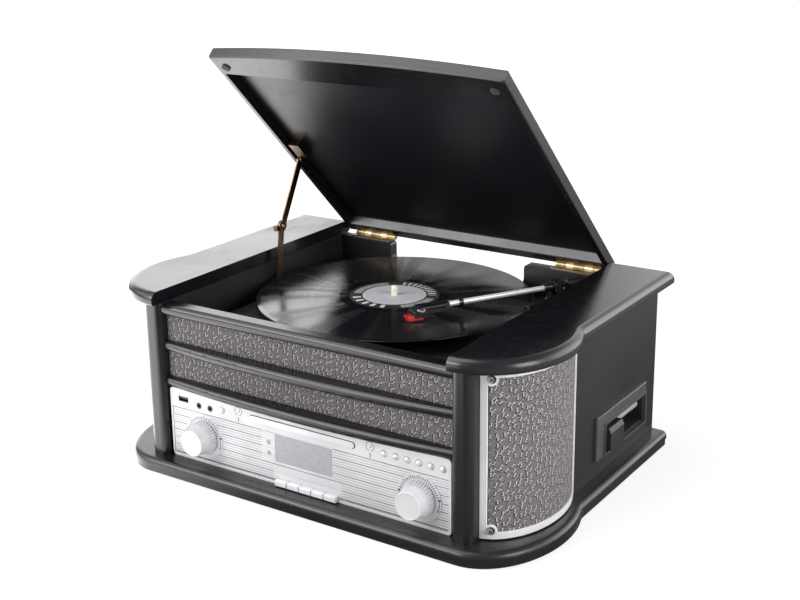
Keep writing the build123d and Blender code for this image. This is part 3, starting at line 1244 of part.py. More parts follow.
def hinge_fixed_leaves():
    """Leaves screwed to the rear panel's top edge, with the hinge pins."""
    leaf_z = (LEDGE_Z, LEDGE_Z + HINGE_LEAF)
    pieces = [hinge_leaf(x, 0, leaf_z, HINGE_PIN + 0.01) for x in hinge_xs()]
    pieces += [rod_x(HINGE_Y, HINGE_Z, around(x, HINGE_LENGTH / 2), HINGE_PIN) for x in hinge_xs()]
    return Compound(children=pieces)


def hinge_lid_leaves():
    """Leaves let into the lid's back rail."""
    leaf_top = HINGE_Z + HINGE_BARREL / 2 + HINGE_LEAF / 2
    leaf_z = (leaf_top - HINGE_LEAF, leaf_top)
    return opened(Compound(children=[hinge_leaf(x, 1, leaf_z, HINGE_PIN + RUNNING_GAP) for x in hinge_xs()]))


# ---- Folding stay on the left ----
def stay_pivot():
    """Place of the lid pivot in the closed lid, as y and z."""
    return HINGE_Y - STAY_PIVOT_REACH, HINGE_Z + STAY_PIVOT_RISE


def stay_bracket():
    """Brass plate on the left rim's inner face with a rivet head, and the block beside it."""
    y, z = stay_pivot()
    x_span = (STAY_RIM_X, STAY_RIM_X + STAY_PLATE)
    half = STAY_WIDTH / 2
    far_y = y + STAY_BRACKET_LENGTH - STAY_WIDTH
    plate = block(x_span, (y, far_y), (z - half, z + half))
    plate += rod_x(y, z, x_span, half) + rod_x(far_y, z, x_span, half)
    plate += rod_x(far_y - 4, z, (x_span[1], x_span[1] + STAY_RIVET_HEAD), STAY_RIVET - STAY_GAP)
    panel_z = LID_TOP - LID_PANEL_THICKNESS
    stop_start = STAY_UPPER_X + STAY_PLATE + STAY_RIVET_HEAD + STAY_GAP
    stop_end_y = y - half - STOP_GAP
    stop = block((stop_start, stop_start + STOP_WIDTH), (stop_end_y - STOP_LENGTH, stop_end_y),
                 (panel_z - STOP_HEIGHT, panel_z))
    return opened(Compound(children=[plate, stop]))


def stay_places():
    """Open places of foot, elbow and lid pivot, each as y and z."""
    y, z = stay_pivot()
    turn = radians(LID_OPEN)
    across, up = y - HINGE_Y, z - HINGE_Z
    pivot = (HINGE_Y + across * cos(turn) + up * sin(turn), HINGE_Z - across * sin(turn) + up * cos(turn))
    foot = (STAY_FOOT_Y, STAY_FOOT_Z)
    elbow = (STAY_FOOT_Y + STAY_ELBOW_SET_BACK, STAY_ELBOW_Z)
    return foot, elbow, pivot


def stay_bar(start, end, x_span):
    """Flat bar between two points in the plane of the stay, with a round eye at each end."""
    length = Vector(*start).sub(Vector(*end)).length
    direction = Vector(0, end[0] - start[0], end[1] - start[1])
    plane = Plane(origin=(x_span[0], *start), x_dir=direction, z_dir=(1, 0, 0))
    outline = Pos(length / 2, 0) * Rectangle(length, STAY_WIDTH)
    outline += Circle(STAY_WIDTH / 2) + Pos(length, 0) * Circle(STAY_EYE)
    return plane * extrude(outline, amount=x_span[1] - x_span[0])


def stay_lower_arm():
    """Lower arm, turning on the shoulder screw in the well wall, with the elbow's thumb piece."""
    foot, elbow, _ = stay_places()
    x_span = (STAY_RIM_X, STAY_RIM_X + STAY_PLATE)
    arm = stay_bar(foot, elbow, x_span)
    arm -= rod_x(*foot, grown(x_span, 1), STAY_SCREW_NECK + RUNNING_GAP)
    tab_x = (STAY_RIM_X - STAY_TAB_REACH, x_span[1])
    tab_y = (elbow[0] - STAY_TAB_START, elbow[0] - STAY_TAB_END)
    tab = block(tab_x, tab_y, (elbow[1] - STAY_TAB_DROP, elbow[1] + STAY_TAB_RISE))
    return arm + tab


def stay_upper_arm():
    """Upper arm, hung from the lid bracket and lying against the lower arm at the elbow."""
    _, elbow, pivot = stay_places()
    x_span = (STAY_UPPER_X, STAY_UPPER_X + STAY_PLATE)
    arm = stay_bar(pivot, elbow, x_span)
    for point in (pivot, elbow):
        arm += rod_x(*point, (x_span[1], x_span[1] + STAY_RIVET_HEAD), STAY_RIVET - STAY_GAP)
    return arm


# ---- Power and connections ----
def transformer():
    """Mains transformer on the base: laminated core with a coil through it."""
    right = WELL_X - WOOD_THICKNESS - TRANSFORMER_WALL_GAP
    front = FRONT_Y + TRANSFORMER_DEPTH
    x_span = (right - TRANSFORMER_WIDTH, right)
    y_span = (front, front + TRANSFORMER_LENGTH)
    z_span = (BASE_TOP, BASE_TOP + TRANSFORMER_HEIGHT)
    core = block(x_span, y_span, z_span)
    coil = block(grown(x_span, -COIL_INSET), grown(y_span, COIL_OVERHANG), grown(z_span, -COIL_YOKE))
    return core + coil


def terminal_plate():
    """Rear plate with phono sockets and the gland of the mains lead."""
    half = (TERMINAL_WIDTH / 2, TERMINAL_HEIGHT / 2)
    y_span = (REAR_Y, REAR_Y + TERMINAL_THICKNESS)
    plate = block(around(TERMINAL_X, half[0]), y_span, around(TERMINAL_Z, half[1]))
    plate = fillet(plate.edges().filter_by(Axis.Y), 3.0)
    for index in range(2):
        x = TERMINAL_X - PHONO_OFFSET + index * PHONO_PITCH
        plate += rod_y(x, TERMINAL_Z, (REAR_Y - PHONO_LENGTH, REAR_Y), PHONO_RADIUS + PHONO_BODY_WALL)
        plate += rod_y(x, TERMINAL_Z, (y_span[1], y_span[1] + PHONO_LENGTH), PHONO_RADIUS)
    gland_x = TERMINAL_X + GLAND_OFFSET
    gland_y = (REAR_Y - GLAND_TAIL, y_span[1] + GLAND_REACH)
    plate += rod_y(gland_x, TERMINAL_Z, gland_y, GLAND_RADIUS)
    return plate - rod_y(gland_x, TERMINAL_Z, grown(gland_y, 2), GLAND_BORE)


PIECES = {
    "plinth": plinth,
    "rubber_feet": rubber_feet,
    "side_panel_left": side_panel_left,
    "side_panel_right": side_panel_right,
    "well_walls": well_walls,
    "rear_panel": rear_panel,
    "front_posts": front_posts,
    "front_rails": front_rails,
    "grille_panels": grille_panels,
    "top_boards": top_boards,
    "speaker_shells": speaker_shells,
    "speaker_cloths": speaker_cloths,
    "speaker_frames": speaker_frames,
    "speaker_drivers": speaker_drivers,
    "frame_screws": frame_screws,
    "control_panel": control_panel,
    "panel_bosses": panel_bosses,
    "display_module": display_module,
    "control_board": control_board,
    "input_sockets": input_sockets,
    "volume_knob": lambda: knob(VOLUME_X),
    "tuning_knob": lambda: knob(TUNING_X),
    "function_button": lambda: round_button(FUNCTION_X),
    "cd_tray": cd_tray,
    "cd_mechanism": cd_mechanism,
    "cassette_bezel": cassette_bezel,
    "cassette_mechanism": cassette_mechanism,
    "cassette_key": cassette_key,
    "deck_plate": deck_plate,
    "deck_motor": deck_motor,
    "motor_pulley": motor_pulley,
    "drive_belt": drive_belt,
    "platter": platter,
    "record": record,
    "speed_switch": speed_switch,
    "tonearm_base": tonearm_base,
    "tonearm_yoke": tonearm_yoke,
    "tonearm_tube": tonearm_tube,
    "cartridge": cartridge,
    "lid_frame": lid_frame,
    "lid_panel": lid_panel,
    "lid_bumpers": lid_bumpers,
    "hinge_fixed_leaves": hinge_fixed_leaves,
    "hinge_lid_leaves": hinge_lid_leaves,
    "stay_bracket": stay_bracket,
    "stay_lower_arm": stay_lower_arm,
    "stay_upper_arm": stay_upper_arm,
    "transformer": transformer,
    "terminal_plate": terminal_plate,
}
for number, place in enumerate(button_xs(), start=1):
    PIECES[f"round_button_{number}"] = lambda place=place: round_button(place)
for number, place in enumerate(key_xs(), start=1):
    PIECES[f"piano_key_{number}"] = lambda place=place: piano_key(place)

os.makedirs("parts", exist_ok=True)
for name, make in PIECES.items():
    export_step(make(), f"parts/{name}.step")
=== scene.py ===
import math

import bmesh
import bpy
from mathutils import Matrix, Vector


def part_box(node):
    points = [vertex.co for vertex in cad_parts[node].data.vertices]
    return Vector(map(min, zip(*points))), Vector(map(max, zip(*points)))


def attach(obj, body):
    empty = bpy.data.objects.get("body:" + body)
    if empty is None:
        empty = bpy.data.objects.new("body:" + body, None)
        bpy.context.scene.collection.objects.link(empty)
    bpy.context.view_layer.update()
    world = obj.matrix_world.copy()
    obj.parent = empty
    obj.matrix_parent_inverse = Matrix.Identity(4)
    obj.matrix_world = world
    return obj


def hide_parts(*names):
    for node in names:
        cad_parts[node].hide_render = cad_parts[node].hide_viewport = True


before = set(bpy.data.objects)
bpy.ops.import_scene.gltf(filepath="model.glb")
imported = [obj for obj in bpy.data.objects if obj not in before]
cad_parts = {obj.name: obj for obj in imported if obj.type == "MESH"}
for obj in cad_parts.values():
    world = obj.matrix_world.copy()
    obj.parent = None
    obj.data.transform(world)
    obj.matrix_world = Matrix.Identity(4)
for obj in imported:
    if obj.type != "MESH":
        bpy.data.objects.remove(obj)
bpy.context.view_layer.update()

# ---- Base board and feet ----
# A slab of fibreboard routed with a half-round upper edge and sprayed satin black.
# It stands on four rubber discs glued into its underside.


class Recipe:
    """Shader nodes put down step by step in one tree."""

    def __init__(self, tree):
        self.tree = tree

    def feed(self, socket, value):
        """Wire a socket or set it; a colour is given without its alpha."""
        if isinstance(value, bpy.types.NodeSocket):
            self.tree.links.new(value, socket)
        elif socket.type == "RGBA":
            socket.default_value = (*value, 1)
        else:
            socket.default_value = value

    def put(self, kind, inputs=None, **settings):
        """One node with its settings, its sockets wired or set."""
        node = self.tree.nodes.new("ShaderNode" + kind)
        for name, value in settings.items():
            setattr(node, name, value)
        for name, value in (inputs or {}).items():
            self.feed(node.inputs[name], value)
        return node

    def calc(self, how, *values):
        """One step of arithmetic."""
        return self.put("Math", dict(enumerate(values)), operation=how).outputs[0]

    def times(self, first, *others):
        """A product."""
        for other in others:
            first = self.calc("MULTIPLY", first, other)
        return first

    def fade(self, value, low, high, start=0.0, end=1.0):
        """A value carried from one range to another and held at its ends."""
        ranges = {"Value": value, "From Min": low, "From Max": high, "To Min": start, "To Max": end}
        return self.put("MapRange", ranges, interpolation_type="SMOOTHSTEP").outputs["Result"]

    def tint(self, amount, first, second):
        """Two colours mixed by an amount."""
        return self.put("Mix", {0: amount, 6: first, 7: second}, data_type="RGBA").outputs[2]

    def vector(self, how, first, second):
        """One step of vector arithmetic."""
        return self.put("VectorMath", {0: first, 1: second}, operation=how).outputs[0]

    def spot(self):
        """Place in the object's own measure."""
        return self.put("TexCoord").outputs["Object"]

    def parts(self, vector=None):
        """The X, Y and Z of a vector, or of the object's own place."""
        return self.put("SeparateXYZ", {0: self.spot() if vector is None else vector}).outputs

    def noise(self, scale, detail=2.0, roughness=0.5, at=None):
        """Cloudy noise, over the piece or at a given place."""
        inputs = {"Scale": scale, "Detail": detail, "Roughness": roughness}
        if at is not None:
            inputs["Vector"] = at
        return self.put("TexNoise", inputs).outputs["Fac"]

    def shared(self, group, **values):
        """A shared effect placed in this tree."""
        node = self.put("Group", node_tree=group.tree)
        for label, value in values.items():
            self.feed(node.inputs[label.replace("_", " ")], value)
        return node.outputs


class Finish(Recipe):
    """A material with one Principled shader."""

    def __init__(self, name, **fixed):
        self.material = bpy.data.materials.new(name)
        self.material.use_nodes = True
        super().__init__(self.material.node_tree)
        self.give(**fixed)

    def give(self, **values):
        """Wire or set the shader's own sockets."""
        shader = self.tree.nodes["Principled BSDF"]
        for label, value in values.items():
            self.feed(shader.inputs[label.replace("_", " ")], value)

    def relief(self, height, depth, normal=None, strength=1.0):
        """Small relief, its depth in metres."""
        inputs = {"Height": height, "Distance": depth, "Strength": strength}
        if normal is not None:
            inputs["Normal"] = normal
        self.give(Normal=self.put("Bump", inputs).outputs[0])


def effect(name, inputs, outputs):
    """An empty node group with named sockets, for an effect that several finishes share."""
    group = bpy.data.node_groups.new(name, "ShaderNodeTree")
    for label, value in inputs.items():
        kind = "NodeSocketVector" if isinstance(value, tuple) else "NodeSocketFloat"
        group.interface.new_socket(name=label, in_out="INPUT", socket_type=kind).default_value = value
    for label in outputs:
        kind = "NodeSocketVector" if label == "Normal" else "NodeSocketFloat"
        group.interface.new_socket(name=label, in_out="OUTPUT", socket_type=kind)
    into, out = group.nodes.new("NodeGroupInput"), group.nodes.new("NodeGroupOutput")
    return Recipe(group), into.outputs, out.inputs


# Handling marks: broad dull patches with finer rubbed streaks inside them.
handling, into, out = effect(
    "Handling marks", {"Patch Scale": 9.0, "Streak Scale": 160.0}, ["Patches", "Streaks"])
spot = handling.spot()
slanted = handling.put("Mapping", {"Vector": spot, "Rotation": (0.4, 0.7, 0.5), "Scale": (1.0, 0.12, 1.0)})
broad = handling.noise(into["Patch Scale"], 3.0, at=spot)
fine = handling.noise(into["Streak Scale"], 4.0, at=slanted.outputs[0])
handling.feed(out["Patches"], handling.fade(broad, 0.35, 0.68))
handling.feed(out["Streaks"], handling.fade(fine, 0.52, 0.75))

# Eased edge: rounds a sharp corner in the light and marks where paint rubs thin.
eased, into, out = effect("Eased edge", {"Radius": 0.0008, "Rub": 0.3}, ["Normal", "Worn"])
rounded = eased.put("Bevel", {"Radius": into["Radius"]}, samples=4).outputs[0]
true_normal = eased.put("NewGeometry").outputs["True Normal"]
alike = eased.put("VectorMath", {0: rounded, 1: true_normal}, operation="DOT_PRODUCT").outputs["Value"]
rubbed = eased.times(eased.fade(alike, 0.995, 0.90), eased.fade(eased.noise(60.0, 5.0), 0.45, 0.62))
eased.feed(out["Normal"], rounded)
eased.feed(out["Worn"], eased.times(rubbed, into["Rub"]))

# Settled dust: gathers in a thin speckle on whatever faces up.
dusty, into, out = effect("Settled dust", {"Amount": 0.2}, ["Dust"])
upward = dusty.parts(dusty.put("NewGeometry").outputs["Normal"])["Z"]
speckle = dusty.times(dusty.fade(upward, 0.4, 0.95), dusty.fade(dusty.noise(34.0, 8.0, 0.72), 0.48, 0.78))
dusty.feed(out["Dust"], dusty.times(speckle, into["Amount"]))

# Sprayed board: faint long fibres under the paint and the orange peel of the spray.
sprayed, into, out = effect("Sprayed board", {"Stretch": (1.0, 14.0, 14.0), "Peel": 0.5}, ["Height"])
spot = sprayed.spot()
fibre = sprayed.noise(22.0, 6.0, at=sprayed.vector("MULTIPLY", spot, into["Stretch"]))
peel = sprayed.noise(520.0, 1.0, at=spot)
sprayed.feed(out["Height"], sprayed.calc("MULTIPLY_ADD", peel, into["Peel"], fibre))


def black_paint(name, stretch, low, high, peel=0.5, dust=0.16, rounding=0.0009):
    """Satin black spray over board, duller where it is handled and greyer where it is rubbed."""
    paint = Finish(name)
    marks = paint.shared(handling, Patch_Scale=7.0)
    edges = paint.shared(eased, Radius=rounding, Rub=0.2)
    settled = paint.shared(dusty, Amount=dust)["Dust"]
    coat = paint.tint(marks["Patches"], (0.0065, 0.0058, 0.0078), (0.0105, 0.0096, 0.0118))
    coat = paint.tint(edges["Worn"], coat, (0.055, 0.052, 0.052))
    patches = paint.fade(marks["Patches"], 0, 1, low, high)
    dull = paint.calc("MULTIPLY_ADD", marks["Streaks"], 0.06, patches)
    paint.give(
        Base_Color=paint.tint(settled, coat, (0.15, 0.145, 0.14)),
        Roughness=paint.calc("ADD", dull, paint.times(settled, 0.6)))
    paint.relief(paint.shared(sprayed, Stretch=stretch, Peel=peel)["Height"], 0.00003, edges["Normal"])
    return paint.material


def dress(material, *nodes):
    """Give CAD nodes a finish."""
    for node in nodes:
        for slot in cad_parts[node].material_slots:
            slot.material = material


# How far the fibres of a board are drawn out: along its width, its depth or its height.
ACROSS, BACK, UP = (1.0, 14.0, 14.0), (14.0, 1.0, 14.0), (14.0, 14.0, 1.0)
dress(black_paint("satin black board", ACROSS, 0.27, 0.36), "plinth")


def toned(colour, factor, lift=0.0):
    """A colour made paler or darker."""
    return tuple(min(1.0, part * factor + lift) for part in colour)


def soft_rubber(name, colour):
    """Matt rubber with a dusty bloom and a moulded grain."""
    skin = Finish(name, Specular_IOR_Level=0.35)
    marks = skin.shared(handling, Patch_Scale=40.0, Streak_Scale=300.0)
    skin.give(
        Base_Color=skin.tint(marks["Patches"], colour, toned(colour, 2.4, 0.01)),
        Roughness=skin.fade(marks["Streaks"], 0, 1, 0.72, 0.9))
    skin.relief(skin.noise(1500.0), 0.00004)
    return skin.material


rubber = soft_rubber("black rubber", (0.018, 0.017, 0.017))
dress(rubber, "rubber_feet")

# ---- Side, inner and rear boards ----
# Flat fibreboard panels glued and dowelled on the base, sprayed with it.
# The right side and the well wall behind it are cut through for the cassette unit.
well_paint = black_paint("dull black inside", BACK, 0.5, 0.62, 0.8, 0.3)
upright_paint = black_paint("satin black upright", BACK, 0.33, 0.42)
dress(upright_paint, "side_panel_left", "side_panel_right", "rear_panel")
dress(well_paint, "well_walls")

# ---- Posts and rails ----
# Square posts with rounded corners, and three moulded rails between them.
# The two lower rails bow forward; all are shaped from solid wood and sprayed.
dress(black_paint("satin black post", UP, 0.25, 0.34), "front_posts")
dress(black_paint("satin black rail", ACROSS, 0.2, 0.29), "front_rails")

# ---- Boards beside the lid ----
# One board each side, with a bulge over the speaker and a half-round edge.
# They carry the clearest coat, so they mirror the room the most.
dress(black_paint("clear black top", BACK, 0.19, 0.27, 0.4, 0.1), "top_boards")

# ---- Figured cloth over the grille boards ----
# Thin boards wrapped in a figured cloth: a close grey-brown weave with small raised curls.
# They are pushed in between the rails from behind.
MM = 0.001

# Figured weave: plain threads, and a curl with a painted shadow beside it in each cell of a loose scatter.
figured, into, out = effect(
    "Figured weave", {"Place": (0, 0, 0), "Thread Pitch": 0.0007, "Curl Pitch": 0.0060},
    ["Threads", "Curl", "Shade", "Blotch", "Height"])
spot = into["Place"]


def scaled(vector, factor):
    """A place on the cloth counted in threads or in cells."""
    return figured.put("VectorMath", {0: vector, "Scale": factor}, operation="SCALE").outputs[0]


crossing = figured.parts(scaled(spot, figured.calc("DIVIDE", math.pi, into["Thread Pitch"])))
warp = figured.calc("ABSOLUTE", figured.calc("SINE", crossing["X"]))
weft = figured.calc("ABSOLUTE", figured.calc("SINE", crossing["Y"]))
threads = figured.times(warp, weft)
per_cell = figured.calc("DIVIDE", 1.0, into["Curl Pitch"])
scatter = {"Vector": spot, "Scale": per_cell, "Randomness": 0.8}
cells = figured.put("TexVoronoi", scatter, voronoi_dimensions="2D").outputs
local = figured.vector("SUBTRACT", scaled(spot, per_cell), scaled(cells["Position"], per_cell))
lean = figured.calc("MULTIPLY_ADD", figured.parts(cells["Color"])["X"], -1.1, -0.15)


def curl_mask(offset, thick):
    """An S-shaped stroke set off from its cell's centre, all measured in cells."""
    inputs = {"Vector": figured.vector("ADD", local, offset), "Angle": lean}
    leaning = figured.parts(figured.put("VectorRotate", inputs, rotation_type="Z_AXIS").outputs[0])
    wave = figured.times(figured.calc("SINE", figured.times(leaning["X"], 9.0)), 0.11)
    aside = figured.calc("ABSOLUTE", figured.calc("SUBTRACT", leaning["Y"], wave))
    stroke = figured.fade(aside, thick, thick * 0.5)
    return figured.times(stroke, figured.fade(figured.calc("ABSOLUTE", leaning["X"]), 0.36, 0.28))


curl = curl_mask((0, 0, 0), 0.11)
# Painted shadow: the same stroke, thicker and offset to one side, kept outside the curl itself.
shade = figured.times(curl_mask((0.12, 0.13, 0), 0.27), figured.calc("SUBTRACT", 1.0, curl))
blotch = figured.fade(figured.noise(520.0, 4.0, 0.65, at=spot), 0.35, 0.65)
height = figured.calc("MULTIPLY_ADD", curl, 1.6, threads)
for label, value in zip(out.keys(), (threads, curl, shade, blotch, height)):
    figured.feed(out[label], value)


def grille_fabric(name):
    """Figured speaker cloth, placed by the flat cloth's own measure."""
    cloth = Finish(name, Sheen_Weight=0.12, Sheen_Roughness=0.45, Specular_IOR_Level=0.25)
    weave = cloth.shared(figured, Place=cloth.put("UVMap", uv_map="cloth").outputs[0])
    ground = cloth.tint(weave["Blotch"], (0.12, 0.108, 0.112), (0.44, 0.405, 0.405))
    ground = cloth.tint(cloth.fade(weave["Threads"], 0.0, 0.7), (0.09, 0.08, 0.083), ground)
    # Painted shadow beside each curl darkens the ground.
    ground = cloth.tint(weave["Shade"], ground, (0.012, 0.010, 0.013))
    cloth.give(
        Base_Color=cloth.tint(weave["Curl"], ground, (0.74, 0.71, 0.70)),
        Roughness=cloth.fade(weave["Curl"], 0, 1, 0.75, 0.42))
    cloth.relief(weave["Height"], 0.0003)
    return cloth.material


fabric = grille_fabric("figured speaker cloth")


def meshed(name, shape, outward=True):
    """A shape closed into a mesh, its faces turned outward."""
    if outward:
        bmesh.ops.recalc_face_normals(shape, faces=shape.faces[:])
    mesh = bpy.data.meshes.new(name)
    shape.to_mesh(mesh)
    shape.free()
    return mesh


def body_piece(name, mesh, material, body="cabinet", smooth=True):
    """A new piece from a mesh, with its finish, riding on a body."""
    piece = bpy.data.objects.new(name, mesh)
    bpy.context.scene.collection.objects.link(piece)
    mesh.materials.append(material)
    for face in mesh.polygons:
        face.use_smooth = smooth
    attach(piece, body)
    return piece


def cloth_grid(name, point_at, long_way, high_way, across, up):
    """A sheet of cloth laid over a surface, its measure kept as the flat cloth's."""
    shape = bmesh.new()
    measure = shape.loops.layers.uv.new("cloth")
    rows = [[shape.verts.new(point_at(i / across, j / up)) for i in range(across + 1)] for j in range(up + 1)]
    for j in range(up):
        for i in range(across):
            face = shape.faces.new((rows[j][i], rows[j][i + 1], rows[j + 1][i + 1], rows[j + 1][i]))
            corners = ((i, j), (i + 1, j), (i + 1, j + 1), (i, j + 1))
            for loop, (a, b) in zip(face.loops, corners):
                loop[measure].uv = (a / across * long_way, b / up * high_way)
    return body_piece(name, meshed(name, shape, outward=False), fabric)


def grille_cloths():
    """Cloth on the two boards, rolled back over their long edges."""
    low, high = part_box("grille_panels")
    half_width = high[0] - MM * 0.3
    front = low[1] - MM * 0.25
    roll_from, roll_depth = 0.93, 0.2 * MM
    for name, bottom, top in (("upper", 144.23, 173.02), ("lower", 104.48, 133.77)):
        bottom, top = bottom * MM, top * MM

        def over_board(a, b):
            roll = max(0.0, abs(2 * b - 1) - roll_from) / (1 - roll_from)
            x = half_width * (2 * a - 1)
            return Vector((x, front + roll_depth * roll ** 2, bottom + (top - bottom) * b))

        sheet = cloth_grid(f"grille_cloth_{name}", over_board, 2 * half_width, top - bottom, 8, 30)


grille_cloths()


def raw_board(name):
    """Bare fibreboard: tan, matt and slightly furry."""
    board = Finish(name, Roughness=0.85)
    fur = board.noise(900.0, 6.0, 0.7)
    marks = board.shared(handling, Patch_Scale=14.0)
    tan = board.tint(board.fade(fur, 0.3, 0.7), (0.20, 0.13, 0.075), (0.36, 0.25, 0.15))
    board.give(Base_Color=board.tint(marks["Patches"], tan, (0.25, 0.17, 0.10)))
    board.relief(fur, 0.00008)
    return board.material


dress(raw_board("bare fibreboard"), "grille_panels")

# ---- Speakers ----
# A curved board fills each front corner, with a small paper-coned driver screwed behind it.
# Figured cloth is stretched round the board and a pressed metal frame clamps it.


def paper_cone(name):
    """Pressed paper cone and painted steel basket, dark and fibrous."""
    cone = Finish(name, Roughness=0.8)
    pulp = cone.noise(700.0, 5.0, 0.75)
    marks = cone.shared(handling, Patch_Scale=30.0)
    grey = cone.tint(cone.fade(pulp, 0.35, 0.7), (0.022, 0.021, 0.021), (0.06, 0.057, 0.055))
    cone.give(Base_Color=cone.tint(marks["Streaks"], grey, (0.09, 0.085, 0.08)))
    cone.relief(pulp, 0.0001)
    return cone.material


dress(paper_cone("driver paper"), "speaker_drivers")
dress(well_paint, "speaker_shells")

DRUM_CENTRE = (190.0 * MM, -72.0 * MM)
DRUM_RADII = (53.0 * MM, 80.0 * MM)
POST_EDGE, DRUM_BACK = 198.0 * MM, -25.0 * MM
FRAME_LOW, FRAME_HIGH = 18.0 * MM, 184.5 * MM
HANDS = ((1, "right"), (-1, "left"))


class DrumWall:
    """The curved corner wall, measured along its length from the post to the side board."""
    pieces = 400

    def __init__(self, inset):
        self.radii = [radius - inset for radius in DRUM_RADII]
        start = -math.acos((POST_EDGE - DRUM_CENTRE[0]) / self.radii[0])
        end = math.asin((DRUM_BACK - DRUM_CENTRE[1]) / self.radii[1])
        self.turns = [start + (end - start) * step / self.pieces for step in range(self.pieces + 1)]
        self.runs = [0.0]
        for first, second in zip(self.turns, self.turns[1:]):
            self.runs.append(self.runs[-1] + (self.at(second) - self.at(first)).length)
        self.length = self.runs[-1]

    def at(self, turn):
        """Point on the wall in plan."""
        reach = (self.radii[0] * math.cos(turn), self.radii[1] * math.sin(turn))
        return Vector(DRUM_CENTRE) + Vector(reach)

    def turn_at(self, run):
        """The turn reached after a length of wall."""
        run = min(max(run, 0.0), self.length)
        low = max(index for index in range(self.pieces) if self.runs[index] <= run)
        share = (run - self.runs[low]) / (self.runs[low + 1] - self.runs[low])
        return self.turns[low] + share * (self.turns[low + 1] - self.turns[low])

    def point(self, run, height, proud, side):
        """Point in space at a run and height, standing proud of the wall."""
        turn = self.turn_at(run)
        outward = Vector((math.cos(turn) / self.radii[0], math.sin(turn) / self.radii[1])).normalized()
        spot = self.at(turn) + outward * proud
        return Vector((side * spot.x, spot.y, height))


def speaker_cloths():
    """Cloth stretched round each drum, under the frame."""
    wall = DrumWall(2.05 * MM)
    high_way = FRAME_HIGH - FRAME_LOW
    for side, hand in HANDS:

        def round_drum(a, b):
            return wall.point(a * wall.length, FRAME_LOW + b * high_way, 0, side)

        skin = cloth_grid(f"speaker_cloth_{hand}", round_drum, wall.length, high_way, 64, 12)
        if side < 0:
            skin.data.flip_normals()
        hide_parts("speaker_cloths")


speaker_cloths()


def satin_silver(name, base, rough, brushed=(1.0, 1.0, 30.0), metallic=0.85):
    """Silver paint or plating with a faint drawn grain and dulled patches."""
    plate = Finish(name, Metallic=metallic)
    marks = plate.shared(handling, Patch_Scale=16.0, Streak_Scale=240.0)
    edges = plate.shared(eased, Radius=0.0004, Rub=0.4)
    grain = plate.noise(260.0, 4.0, at=plate.vector("MULTIPLY", plate.spot(), brushed))
    colour = plate.tint(marks["Patches"], base, toned(base, 0.86))
    plate.give(
        Base_Color=plate.tint(edges["Worn"], colour, toned(base, 1.1)),
        Roughness=plate.fade(marks["Patches"], 0, 1, rough, rough + 0.1))
    plate.relief(grain, 0.00001, edges["Normal"], 0.6)
    return plate.material


frame_silver = satin_silver("satin frame metal", (0.90, 0.89, 0.90), 0.42, (1.0, 1.0, 0.05), 0.25)
lip_silver = satin_silver("bright frame lip", (0.92, 0.91, 0.92), 0.3, (1.0, 1.0, 0.05), 0.15)

frame_wall = DrumWall(1.85 * MM)
SCREW_X = 207.5 * MM
screw_run = min(frame_wall.runs, key=lambda run: abs(frame_wall.at(frame_wall.turn_at(run)).x - SCREW_X))
WINDOW_EDGE, BAR, LUG, WINDOW_ROUND = 6.8 * MM, 7.0 * MM, 6.5 * MM, 2.2 * MM
LUG_HEIGHTS = (26.4 * MM, 176.1 * MM)


def window_outline(grow):
    """Window of the frame as run and height points, scooped round the two screw lugs."""
    left, right = WINDOW_EDGE - grow, frame_wall.length - BAR * 0.75 + grow
    bottom, top = FRAME_LOW + BAR - grow, FRAME_HIGH - BAR + grow
    lug = LUG - grow
    points = []
    down = math.asin((LUG_HEIGHTS[0] - bottom) / lug)
    side_on = math.acos((screw_run - left) / lug)
    for step in range(13):
        turn = -down + (math.pi - side_on + down) * step / 12
        points.append((screw_run + lug * math.cos(turn), LUG_HEIGHTS[0] + lug * math.sin(turn)))
    points += [(run, LUG_HEIGHTS[0] + LUG_HEIGHTS[1] - height) for run, height in reversed(points)]
    corner = WINDOW_ROUND + grow
    for height, start in ((top - corner, 90), (bottom + corner, 0)):
        for step in range(9):
            turn = math.radians(start - 90 * step / 8)
            points.append((right - corner + corner * math.cos(turn), height + corner * math.sin(turn)))
    return points


def cut_across(shape, where):
    """Cut every face of a shape at a place along X."""
    everything = shape.verts[:] + shape.edges[:] + shape.faces[:]
    bmesh.ops.bisect_plane(shape, geom=everything, plane_co=(where, 0, 0), plane_no=(1, 0, 0))


def baked(piece, *modifiers):
    """Add modifiers to a piece and keep their result, shaded smooth between its edges."""
    for kind, settings in modifiers + (("WEIGHTED_NORMAL", {"keep_sharp": True}),):
        modifier = piece.modifiers.new(kind.lower(), kind)
        for name, value in settings.items():
            setattr(modifier, name, value)
    bpy.context.view_layer.update()
    seen = piece.evaluated_get(bpy.context.evaluated_depsgraph_get())
    shaped = bpy.data.meshes.new_from_object(seen)
    piece.modifiers.clear()
    piece.data = shaped
    return piece


